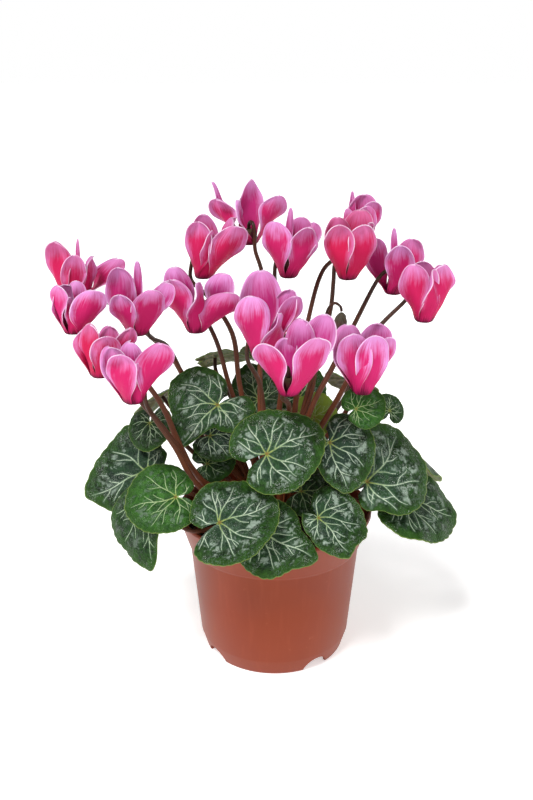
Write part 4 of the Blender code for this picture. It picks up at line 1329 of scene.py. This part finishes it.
@dataclass
class Corollas:
    """Builds the blooms: five petals turned back round a short tube, with its mouth below.

    The root's place, the sink and drop of its foot, the lap of one petal's edge over the next one's
    and the thickness are in mm. The half width, the bulge and where a petal is widest are shares of its
    length, and the claw is a share of its width.
    """

    half_width: float = 0.275
    claw: float = 0.38
    widest: float = 0.62
    root: tuple = (4.9, 0.9)
    sink: float = 3.1
    drop: float = 1.9
    ring_angle: float = 0.7
    bulge: float = 0.01
    cup: float = 0.2
    twist_end: float = 0.85
    thickness: float = 0.5
    lap: float = 1.5
    rows: int = 30
    columns: int = 15

    def width(self, u: np.ndarray) -> np.ndarray:
        """Width along a petal as a share of the widest: a narrow claw, then a broad rounded blade.

        Before it is widest: the claw's at the root, rising by a smooth step. After it: a quarter ellipse
        that is a hair too long, which keeps the tip from closing to a point.
        """
        swell = self.claw + (1 - self.claw) * ease(u, 0.05, self.widest)
        tip = np.sqrt(np.clip(1 - ((u - self.widest) / (1.002 - self.widest)) ** 2, 0, 1))
        return np.where(u < self.widest, swell, tip)

    @staticmethod
    def slots(petals: tuple) -> list[float]:
        """Azimuths of five evenly spaced roots, each nearest to its petal's own."""
        order = sorted(range(len(petals)), key=lambda k: petals[k][0] % 360)
        first = [math.radians(petals[k][0] - 72 * place) for place, k in enumerate(order)]
        phase = math.degrees(math.atan2(sum(map(math.sin, first)), sum(map(math.cos, first))))
        slots = [0.0] * len(petals)
        for place, k in enumerate(order):
            away = (phase + 72 * place - petals[k][0] + 180) % 360 - 180
            slots[k] = petals[k][0] + away
        return slots

    def shares(self) -> tuple[np.ndarray, np.ndarray]:
        """How far along a petal its rows lie, closer at both ends, and how far to each side its columns."""
        t = np.linspace(0, 1, self.rows)
        end = 0.94 * math.pi
        u = 0.45 * t + 0.55 * (1 - np.cos(t * end)) / (1 - math.cos(end))
        s = np.sin(np.linspace(-1, 1, self.columns) * math.pi / 2.3)
        return u[:, None, None], (s / s.max())[None, :, None]

    def middle_line(self, u: np.ndarray, outward: np.ndarray, flare: float, length: float,
                    rng: np.random.Generator) -> np.ndarray:
        """A petal's middle line: out of the mouth, round the nose and up.

        A point is: outward * out + up * rise + length * (run * climb + bow * swing). Out and rise are
        the root's, drawn in and down at its foot, which makes the nose a rounded bowl. Climb is u, held
        back at the foot. The swing is bulge * sin(pi u^0.7) and a curl of the tip.

        Args:
            u: share of the way along it.
            outward: level way out at each row.
            flare: lean from upright in degrees.
            length: mm.
            rng: the curl.

        Returns:
            A column of points.
        """
        lean = math.radians(flare)
        run = outward * math.sin(lean) + UP * math.cos(lean)
        bow = outward * math.cos(lean) - UP * math.sin(lean)
        climb = (u - 0.04 * (1 - np.exp(-u / 0.04))) / 0.96
        out = self.root[0] - self.sink * np.exp(-u / 0.025)
        rise = self.root[1] - self.drop * (1 - ease(u, 0.0, 0.4))
        swing = self.bulge * np.sin(math.pi * u ** 0.7) + rng.uniform(-0.1, 0.03) * ease(u, 0.5, 1.0)
        return outward * out + UP * rise + length * (run * climb + bow * swing)

    @staticmethod
    def waves(u: np.ndarray, s: np.ndarray, rng: np.random.Generator) -> np.ndarray:
        """A petal's waves as a share of its length, growing from the claw to the blade.

        Ripples grow with |s|^3, pleats run along the blade and end before the tip, and the edges are
        rolled by |s|^6 and s^3.
        """
        side = np.abs(s)
        ripple = 0.035 * np.sin(8 * u + rng.uniform(0, 6)) * s
        ripple = ripple + 0.022 * np.sin(15 * u + rng.uniform(0, 6))
        pleat = rng.uniform(0.008, 0.03) * np.sin(5.5 * s + 2.5 * u + rng.uniform(0, 6))
        pleat = pleat * (1 - ease(u, 0.85, 1.0))
        roll = rng.uniform(-0.03, 0.06) * side ** 6 + rng.uniform(-0.05, 0.05) * s ** 3
        return ease(u, 0.2, 0.65) * (side ** 3 * ripple + pleat + roll)

    def petal(self, skin: Skin, nose: np.ndarray, petal: tuple, slot: float, redness: float,
              rng: np.random.Generator) -> None:
        """Add one petal: rolled out of the mouth, folded back, twisted, cupped and wavy.

        Across the middle line a point is: across * (half s + sway) + plane * lift, with across turning
        to the face's side by a smooth step. The lift is a cup of 1 - s^2, the waves, and the lap, which
        puts one edge under the petal before and the other over the next. Near the foot it follows the
        ring of the mouth instead: across * R sin(a s) + plane * (R (cos(a s) - 1) + 0.25 s).

        Args:
            skin: what it is added to.
            nose: foot of the bloom's axis.
            petal: azimuth, flare, length, azimuth of the face and, if not 1, breadth.
            slot: azimuth of its root in the ring of five.
            redness: share of crimson, a painted glow of light shining through the petals.
            rng: what makes it its own.
        """
        azimuth, flare, length, face, *rest = petal
        breadth = rest[0] if rest else 1.0
        u, s = self.shares()
        bearing = np.radians(azimuth + (slot - azimuth) * (1 - ease(u, 0.0, 0.35)))
        outward = np.concatenate([np.cos(bearing), np.sin(bearing), 0 * u], -1)
        along = np.concatenate([-np.sin(bearing), np.cos(bearing), 0 * u], -1)
        middle = self.middle_line(u, outward, flare, length, rng)
        twist = math.radians((face - azimuth + 180) % 360 - 180 + rng.uniform(-8, 8))
        turn = twist * ease(u, 0.15, self.twist_end)
        across = along * np.cos(turn) - outward * np.sin(turn)
        plane = outward * np.cos(turn) + along * np.sin(turn)
        half = self.half_width * breadth * rng.uniform(0.95, 1.08) * length * self.width(u)
        cup = self.cup + rng.uniform(-0.6, 0.25) * ease(u, 0.35, 0.9)
        lift = half * cup * (1 - s * s) + length * min(1.0, breadth) * self.waves(u, s, rng)
        lift = lift + self.lap * s * (1 - 0.8 * ease(u, 0.5, 1.0))
        radius = (middle * outward).sum(-1, keepdims=True)
        t = self.ring_angle * s
        ring = across * radius * np.sin(t) + plane * (radius * (np.cos(t) - 1) + 0.25 * s)
        free = ease(u, 0.04, 0.32)
        sway = rng.uniform(-0.06, 0.06) * length * ease(u, 0.3, 1.0)
        grid = nose + middle + (across * (half * s + sway) + plane * lift) * free + ring * (1 - free)
        place = together(u[..., 0], s[..., 0], rng.uniform(0, 40))
        skin.add_grid(grid, place, (redness, rng.uniform(0.3, 1.0), 0.0), flip=True)

    def build(self, name: str, bloom: Bloom, rng: np.random.Generator,
              finishes: list[bpy.types.Material], tube_finishes: list[bpy.types.Material],
              node: str) -> list[Piece]:
        """Build one bloom.

        Args:
            name: the piece's name.
            bloom: its place and petals.
            rng: what makes it its own.
            finishes: the petals' face and back.
            tube_finishes: tube, sepals, style.
            node: what it stands for.

        Returns:
            The petals, and the tube with its sepals.
        """
        nose = np.array(bloom.nose, dtype=float)
        skin = Skin()
        for petal, slot in zip(bloom.petals, self.slots(bloom.petals)):
            redness = min(1.0, max(0.0, bloom.redness + rng.uniform(-0.15, 0.15)))
            self.petal(skin, nose, petal, slot, redness, rng)
        corolla = skin.make(name, finishes)
        thicken(corolla, self.thickness, 1)
        return [Piece(corolla, (node,), "petal"), self.tube(f"{name}_tube", nose, bloom, tube_finishes)]

    def tube(self, name: str, nose: np.ndarray, bloom: Bloom,
             finishes: list[bpy.types.Material]) -> Piece:
        """The short tube with a rolled lip, its sepals and its style.

        Args:
            name: the piece's name.
            nose: foot of the bloom's axis.
            bloom: its petals' azimuths place the sepals.
            finishes: tube, sepals, style.

        Returns:
            The tube.
        """
        profile = np.array([(1.2, 3.4), (1.7, 2.4), (1.9, 1.2), (2.1, 0.3), (2.5, 0.0), (3.0, 0.5),
                            (3.4, 1.6), (3.6, 3.0), (3.6, 4.6), (3.4, 6.2), (3.0, 7.6), (2.2, 8.2)])
        grid = lathe(profile, 30, nose)
        turn = np.linspace(0, math.tau, 30, endpoint=False)
        rise = (profile[:, 1:] + 0.3) / 8.5
        place = together(rise, np.abs(np.sin(turn)), 0.0)
        skin = Skin()
        skin.add_grid(grid, place, (0, 0, 0), 0, wrap=True, flip=True,
                      start=nose + UP * 3.5, end=nose + UP * 8.3)
        for k in range(5):
            self.sepal(skin, nose, bloom.petals[k][0] + 36)
        line = nose + UP * np.linspace(3.3, -1.4, 8)[:, None]
        style = sweep(line, np.array((0.8, 0.7, 0.6, 0.5, 0.4, 0.35, 0.35, 0.2)), 8)
        skin.add_grid(style, style * 0.05, (0, 0, 0), 2, wrap=True, flip=True, start=line[0], end=line[-1])
        return Piece(skin.make(name, finishes), (), "petal")

    @staticmethod
    def sepal(skin: Skin, nose: np.ndarray, azimuth: float) -> None:
        """Add a small pointed sepal that hugs the tube from the stalk down: width falls as 1 - t^1.5.

        Args:
            skin: what it is added to.
            nose: foot of the bloom's axis.
            azimuth: where it lies round the tube.
        """
        t = np.linspace(0, 1, 9)[:, None, None]
        s = np.linspace(-1, 1, 7)[None, :, None]
        outward, along = heading(azimuth), heading(azimuth + 90)
        distance = 1.5 + 2.0 * ease(t, 0.0, 0.35) + 0.5 * t
        half = 1.9 * (1 - t ** 1.5) + 0.08
        top = nose + UP * (8.7 - 4.9 * t ** 1.4)
        over = top + outward * (distance - 0.25 * s * s) + along * half * s
        place = together(t[..., 0], s[..., 0], 0.0)
        closed = np.concatenate([over, (over - outward * 0.35)[:, ::-1]], axis=1)
        both = np.concatenate([place, place[:, ::-1]], axis=1)
        skin.add_grid(closed, both, (0, 0, 0), 1, wrap=True, flip=True,
                      start=closed[0].mean(axis=0), end=closed[-1].mean(axis=0))


@dataclass
class Bud:
    """A closed bud hanging tip down, its furled petals wound round it. Sizes in mm."""

    top: tuple = (37.8, -8.0, 218.4)
    length: float = 14.0
    radius: float = 3.4
    drift: float = -2.4
    winding: float = 2.2

    def stalk(self, points: tuple) -> np.ndarray:
        """Its stalk's centreline through the given points and down on to the bud."""
        end = np.array(self.top) + UP * 0.4
        return smooth_route([*crown_start(points[0], Tuber.flower_ring), *points, end], 6)

    def build(self) -> Piece:
        """Turn the bud: radius times a swell along it and five ridges that wind as it falls."""
        fall = np.linspace(0, 1, 38)[1:-1, None]
        turn = np.linspace(0, math.tau, 60, endpoint=False)[None, :]
        wound = turn - self.winding * fall
        ridge = 1 + 0.14 * np.cos(5 * wound)
        swell = self.radius * ridge * np.sin(math.pi * fall ** 0.8) ** 0.8
        top = np.array(self.top)
        grid = top + together(swell * np.cos(turn) + self.drift * fall ** 2, swell * np.sin(turn),
                              -self.length * fall)
        place = together(fall, np.sin(2.5 * wound), 0.0)
        skin = Skin()
        skin.add_grid(grid, place, (0, 0, 0), wrap=True, start=top, end=top + (self.drift, 0, -self.length))
        finish = SepalSkin("bud_skin_furled", 0x3A3A26, 0x6E3446).make()
        return Piece(skin.make("bud_furled", [finish]), ("bud_01",), "bud_skin")


# ---------------------------------------------------------------- stalks

@dataclass
class Stalks:
    """The tuber and every stalk that grows from it, one piece. Radii in mm, at the crown and at the end."""

    tuber: Tuber
    petiole_radii: tuple = (1.7, 1.25)
    flower_radii: tuple = (2.2, 1.1)
    bud_radii: tuple = (1.5, 0.8)
    sides: int = 10

    def add(self, skin: Skin, route: np.ndarray, radii: tuple, redness: float,
            rng: np.random.Generator) -> None:
        """Add a stalk: a round section that tapers along its route and swells a little at random.

        Args:
            skin: what it is added to.
            route: its centreline.
            radii: at its foot and at its end.
            redness: share of the warmer colour at its foot.
            rng: its swellings.
        """
        share = arc_share(route)
        swell = 1 + 0.03 * np.sin(9 * share + rng.uniform(0, 6))
        swell = swell + 0.02 * np.sin(23 * share + rng.uniform(0, 6))
        radius = (radii[0] + (radii[1] - radii[0]) * share) * swell
        grid = sweep(route, radius, self.sides)
        turn = np.linspace(0, math.tau, self.sides, endpoint=False)[None, :]
        place = together(share[:, None], np.sin(turn), np.cos(turn))
        skin.add_grid(grid, place, (redness, rng.uniform(0, 40), 0), 0, wrap=True, flip=True,
                      start=route[0], end=route[-1])

    def build(self, rng: np.random.Generator, bud: Bud) -> Piece:
        """Build the tuber, the petioles, the flower stalks and the bud's stalk, in this order."""
        skin = Skin()
        self.tuber.add(skin, 1)
        for leaf in LEAVES:
            self.add(skin, leaf.petiole(), self.petiole_radii, rng.uniform(0.4, 1.0), rng)
        for bloom in BLOOMS:
            self.add(skin, bloom.stalk(), self.flower_radii, rng.uniform(0.0, 0.6), rng)
        self.add(skin, bud.stalk(BUD_STALK), self.bud_radii, 0.2, rng)
        thing = skin.make("tuber_with_stalks_skin", [StalkSkin().make(), TuberCork().make()])
        return Piece(thing, ("tuber_with_stalks",), "stalk_skin")


# ---------------------------------------------------------------- where each blade and bloom stands

# Blades: junction, azimuth faced, tilt, spin of the tip, length, outline, wave, the petiole's points, tint
LEAVES = (
    Leaf((-34, 0, 159), -100, 40, -126, 36, IVY, 0.04, ((-20, 11, 120),)),
    Leaf((-75, -18, 123), -115, 42, -151, 45, ARROW, 0.04, ((-40, -8, 100),)),
    Leaf((-56, -48, 121), -100, 50, -165, 31, FAN, tint=Tint.FRESH),
    Leaf((-75, -45, 112), -134, 22, -65, 36, FOLDED, 0.02, ((-48, -39, 95),), Tint.DEEP),
    Leaf((-31, -66, 114), -95, 52, 25, 37, KIDNEY),
    Leaf((-8, -56, 105), -88, 38, -28, 37, DART),
    Leaf((-5, -47, 147), -85, 42, 25, 37, via=((-5.5, -27, 131),)),
    Leaf((31, -30, 147), -75, 38, -81, 31, LOPSIDED, 0.04, ((26, -6, 120),)),
    Leaf((53, -30, 122), -60, 40, 33, 48, SHELL),
    Leaf((79, -14, 103), -45, 50, -35, 41),
    Leaf((24, -54, 111), -80, 50, -62, 29, LOBED, 0.05),
    Leaf((46, -26, 166), -90, 30, 23, 18, FAN, 0.04, ((38, 2, 142), (45, -9, 156)), Tint.FRESH),
    Leaf((-39, -4, 141), -95, 30, -1, 24, OVAL, 0.04, ((-22, 9, 118),)),
    Leaf((-74, -9, 151), -120, 40, -71, 18, ROUND, 0.04, ((-38, 8, 112), (-58, 3, 135)), Tint.DEEP),
    Leaf((-41, -5, 123), -90, 25, 10, 18, tint=Tint.DEEP),
    Leaf((-10, 35, 150), -95, 35, 110, 26, tint=Tint.DEEP),
    Leaf((-38, 48, 174), 100, 60, 170, 26, HEART, 0.04, ((-24, 44, 140),), Tint.DEEP),
    Leaf((-8, 62, 172), 85, 55, 150, 26, tint=Tint.DEEP),
    Leaf((25, 24, 142), -90, 40, 80, 18, ROUND, tint=Tint.YELLOWING),
    Leaf((72, 25, 146), -60, 40, 60, 13, ROUND, tint=Tint.DEEP),
    Leaf((16, 40, 150), -85, 40, 60, 24, tint=Tint.DEEP),
    Leaf((15, -30, 116), -80, 62, 10, 26, tint=Tint.DEEP),
    Leaf((-72, 42, 150), 150, 45, -80, 28, ROUND),
    Leaf((-50, 56, 128), 130, 45, -90, 36, POINTED),
    Leaf((-24, 78, 108), 105, 45, -75, 34, ROUND),
    Leaf((10, 66, 130), 80, 45, -100, 34),
    Leaf((54, 60, 112), 48, 45, -90, 38, POINTED),
    Leaf((87, 28, 118), 20, 45, -85, 33),
    Leaf((-88, 26, 112), 165, 40, -100, 36, POINTED),
    Leaf((50, 55, 155), 55, 50, -90, 28, tint=Tint.DEEP),
)

# Blooms: nose, azimuth of the stalk's hook, petals, the stalk's points, form of the hook, share of crimson
# (painted glow of light through the petals)
# Petals: azimuth, flare from upright, length, azimuth that the face turns to, and breadth where it isn't 1
BLOOMS = (
    Bloom((-119, 10, 219), 60,
          ((-128, 5, 37, -108, 0.9), (-72, 18, 32, -80, 0.85), (-25, 25, 30, 5, 0.9),
           (10, 42, 33, 80, 1.0), (70, 12, 36, 70, 0.22)),
          ((-40, 16, 130), (-61, 21, 180), (-76, 19, 197), (-96, 15, 216)), ARCHED, 0.5),
    Bloom((-113, -22, 211), 32,
          ((-150, 7, 26, -115), (-85, 8, 20, -20, 0.6), (-38, 26, 27, -75, 1.35),
           (85, 18, 26, 85), (165, 4, 25, 140)),
          ((-44, -18, 118), (-55, -24, 142), (-66, -28, 172), (-90, -20, 199)), BENT, 0.15),
    Bloom((-97, -36, 190), 48,
          ((-140, 4, 29, -100, 0.9), (-60, 20, 26, -80, 1.15), (8, 22, 27, -50),
           (65, 18, 25, 95), (165, 8, 26, 130)),
          ((-38, -18, 112), (-59, -32, 150), (-76, -38, 176)), BENT, 0.7),
    Bloom((-79, -8, 206), 50,
          ((158, 16, 37, 95, 0.85), (90, 12, 39, 90, 0.25), (-50, 22, 30, -72, 1.15),
           (-120, 25, 27, -95), (10, 26, 31, 70)),
          ((-42, 24, 137), (-57, 25, 170), (-65, 14, 192)), BENT, 0.15),
    Bloom((-76, -59, 183), 47,
          ((-118, 15, 28, -100, 1.2), (-62, 8, 22, 0, 0.5), (-8, 17, 33, -75, 1.1),
           (100, 10, 29, 90), (155, 18, 28, 110)),
          ((-43, -26, 116), (-57, -38, 148), (-67, -45, 168)), BENT, 0.15),
    Bloom((-47, 12, 202), 75,
          ((-150, 20, 33, -105, 1.1), (150, 15, 37, 100, 0.9), (-80, 20, 32, -8),
           (-25, 38, 29, -85, 1.4), (20, 28, 35, 80, 1.1)),
          ((-16, 10, 130), (-28, 18, 166), (-35, 20, 192)), ARCHED, 0.1),
    Bloom((-43, 29, 231), 155,
          ((-108, 4, 33, -95, 0.92), (-62, 16, 29, -20, 0.8), (-20, 28, 34, -75, 1.2),
           (30, 24, 36, 0), (78, 10, 35, 85, 0.8)),
          ((-14, 14, 130), (-22, 24, 166), (-26, 27, 196), (-40, 32, 217)), BENT, 0.55),
    Bloom((-16, 58, 246), -62,
          ((-172, 29, 30, -100, 1.3), (168, 29, 40, 168, 0.22), (-122, 10, 27, 175),
           (85, 9, 37, 140, 0.85), (0, 26, 31, -68, 1.15)),
          ((-8, 8, 130), (-9, 22, 173), (-8, 38, 206), (-8, 46, 230)), BENT, 0.1),
    Bloom((8, 22, 233), 162,
          ((-140, 14, 33, -112, 1.1), (-45, 18, 31, -72), (10, 20, 32, 60),
           (48, 15, 33, 60), (95, 8, 38, 95, 0.22)),
          ((0, 6, 130), (4, 12, 165), (5, 18, 203)), BENT, 0.2),
    Bloom((-8, -20, 196), 160,
          ((-120, 12, 36, -100), (-55, 24, 31, -5), (-5, 22, 36, -70),
           (25, 20, 38, 60), (82, 10, 46, 95)),
          ((-5.6, -4, 122), (-9, -10, 176)), BENT, 0.1),
    Bloom((7, -52, 185), 108,
          ((-140, 20, 32, -105), (-35, 22, 36, -75), (25, 22, 43, 75, 0.85),
           (60, 16, 38, 85, 0.85), (92, 15, 27, 90)),
          ((4, -8, 130), (8, -20, 165), (4, -38, 177)), BENT, 0.1),
    Bloom((51, 50, 245), 168,
          ((112, 10, 32, 112, 0.22), (60, 12, 30, 85, 1.15), (0, 12, 27, -70),
           (-75, 15, 26, -75), (-135, 15, 24, -150)),
          ((10, 8, 125), (14, 17, 165), (21, 28, 207), (30, 40, 233)), BENT, 0.2),
    Bloom((42, 8, 235), 160,
          ((-128, 19, 32, -100), (125, 8, 33, 100), (10, 14, 31, -20),
           (-48, 17, 32, -78), (60, 12, 37, 85)),
          ((12, 5, 125), (18, 3, 158), (28, 10, 194), (33, 13, 215)), BENT, 0.9),
    Bloom((71, 22, 223), 212,
          ((155, 18, 31, 110), (85, 9, 36, 85, 0.22), (35, 16, 29, 60),
           (-15, 15, 32, -62), (-80, 18, 31, -85)),
          ((14, -2, 130), (22, -3, 159), (34, 6, 180), (47, 15, 204)), ARCHED, 0.15),
    Bloom((85, -8, 214), 152,
          ((-140, 16, 34, -95), (-80, 17, 31, 0, 0.8), (-20, 15, 32, -65),
           (40, 12, 30, 15), (85, 12, 31, 90)),
          ((20, 3, 128), (38, 6, 161), (47, 0, 183), (59, -6, 208)), ARCHED, 0.45),
    Bloom((49, -30, 178), 85,
          ((155, 14, 37, 105), (-125, 15, 37, -82), (-70, 12, 35, -70, 1.1),
           (-20, 13, 33, -60), (50, 10, 37, 60)),
          ((16, -3, 120), (38, -6, 150), (48, -8, 171)), ARCHED, 0.1),
)

# The bud's stalk, from over the crown to its hook
BUD_STALK = ((10, 0, 130), (22, 0, 167), (26, -5, 200), (28.8, -8, 215.5), (30.6, -8, 221.0),
             (34.0, -8, 223.6), (37.2, -8, 221.4))


# ---------------------------------------------------------------- studio

@dataclass
class Studio:
    """The floor, the lights and the camera. Sizes in metres."""

    camera_place: tuple = (0.006, -0.5545, 0.3573)
    camera_dip: float = 0.3425
    lens: float = 43.74
    floor_size: float = 12.0
    horizon: float = 1.0
    zenith: float = 0.1

    def build(self) -> None:
        """Lay the floor, hang the lights and set up the camera."""
        self.lay_floor()
        self.hang_lights()
        data = bpy.data.cameras.new("camera")
        data.lens = self.lens
        data.sensor_width = 36
        data.clip_end = 20
        camera = bpy.data.objects.new("camera", data)
        camera.location = self.camera_place
        camera.rotation_euler = (math.pi / 2 - self.camera_dip, 0, 0)
        bpy.context.scene.collection.objects.link(camera)
        bpy.context.scene.camera = camera
        bpy.context.scene.view_settings.view_transform = "Standard"

    def lay_floor(self) -> None:
        """A wide square of paper, subdivided, flat on the ground."""
        side = np.linspace(-self.floor_size, self.floor_size, 9)
        x, y = np.meshgrid(side, side, indexing="ij")
        points = together(x, y, 0.0).reshape(-1, 3)
        here = (np.arange(8)[:, None] * 9 + np.arange(8)).ravel()
        quads = np.stack([here, here + 9, here + 10, here + 1], -1)
        mesh = bpy.data.meshes.new("studio_floor")
        mesh.from_pydata(points.tolist(), [], quads.tolist())
        mesh.materials.append(StudioPaper().make())
        floor = bpy.data.objects.new("studio_floor", mesh)
        bpy.context.scene.collection.objects.link(floor)

    def hang_lights(self) -> None:
        """A sky that pales to white at the horizon, a soft key from the upper left front, and a fill."""
        world = bpy.data.worlds.new("studio_sky")
        bpy.context.scene.world = world
        world.use_nodes = True
        nodes, links = world.node_tree.nodes, world.node_tree.links
        back = nodes["Background"]
        where = nodes.new("ShaderNodeTexCoord")
        parts = nodes.new("ShaderNodeSeparateXYZ")
        level = nodes.new("ShaderNodeMapRange")
        level.interpolation_type = "SMOOTHSTEP"
        level.inputs["From Min"].default_value = 0.25
        level.inputs["From Max"].default_value = 0.65
        level.inputs["To Min"].default_value = self.horizon
        level.inputs["To Max"].default_value = self.zenith
        links.new(where.outputs["Generated"], parts.inputs[0])
        links.new(parts.outputs["Z"], level.inputs["Value"])
        links.new(level.outputs["Result"], back.inputs["Strength"])
        back.inputs["Color"].default_value = (1.0, 1.0, 1.0, 1.0)
        for name, place, spread, power in (("key", (-0.45, -0.6, 1.1), 20.0, 2.6),
                                           ("fill", (0.8, -0.7, 0.8), 60.0, 0.5)):
            data = bpy.data.lights.new(name, "SUN")
            data.angle = math.radians(spread)
            data.energy = power
            light = bpy.data.objects.new(name, data)
            light.location = place
            light.rotation_euler = (-Vector(place)).to_track_quat("-Z", "Y").to_euler()
            bpy.context.scene.collection.objects.link(light)


def main() -> None:
    """Build every sub-assembly in order, seat it on the frame, and report."""
    logging.basicConfig(level=logging.INFO, format="%(message)s")
    rng = np.random.default_rng(12)
    pot, tuber, bud = Pot(), Tuber(), Bud()
    pieces = [pot.build(), Soil(pot, tuber).build(rng), Stalks(tuber).build(rng, bud)]
    leaf_finishes = [LeafFace().make(), LeafUnderside().make(), LeafVein().make()]
    blades = Blades()
    for number, leaf in enumerate(LEAVES, 1):
        node = f"leaf_{number:02d}"
        pieces += blades.build(f"{node}_blade", leaf, rng, leaf_finishes, node)
    petal_finishes = [PetalSilk(side).make() for side in PetalSide]
    tube_finishes = [TubeSkin().make(), SepalSkin("sepal_skin", 0x5A5A34, 0x7A3A3A).make(),
                     SepalSkin("style_skin", 0xB8A050, 0x9A2A5A).make()]
    corollas = Corollas()
    for number, bloom in enumerate(BLOOMS, 1):
        node = f"flower_{number:02d}"
        pieces += corollas.build(f"{node}_petals", bloom, rng, petal_finishes, tube_finishes, node)
    pieces.append(bud.build())
    for piece in pieces:
        piece.seat()
    Studio().build()


if __name__ == "__main__":
    main()
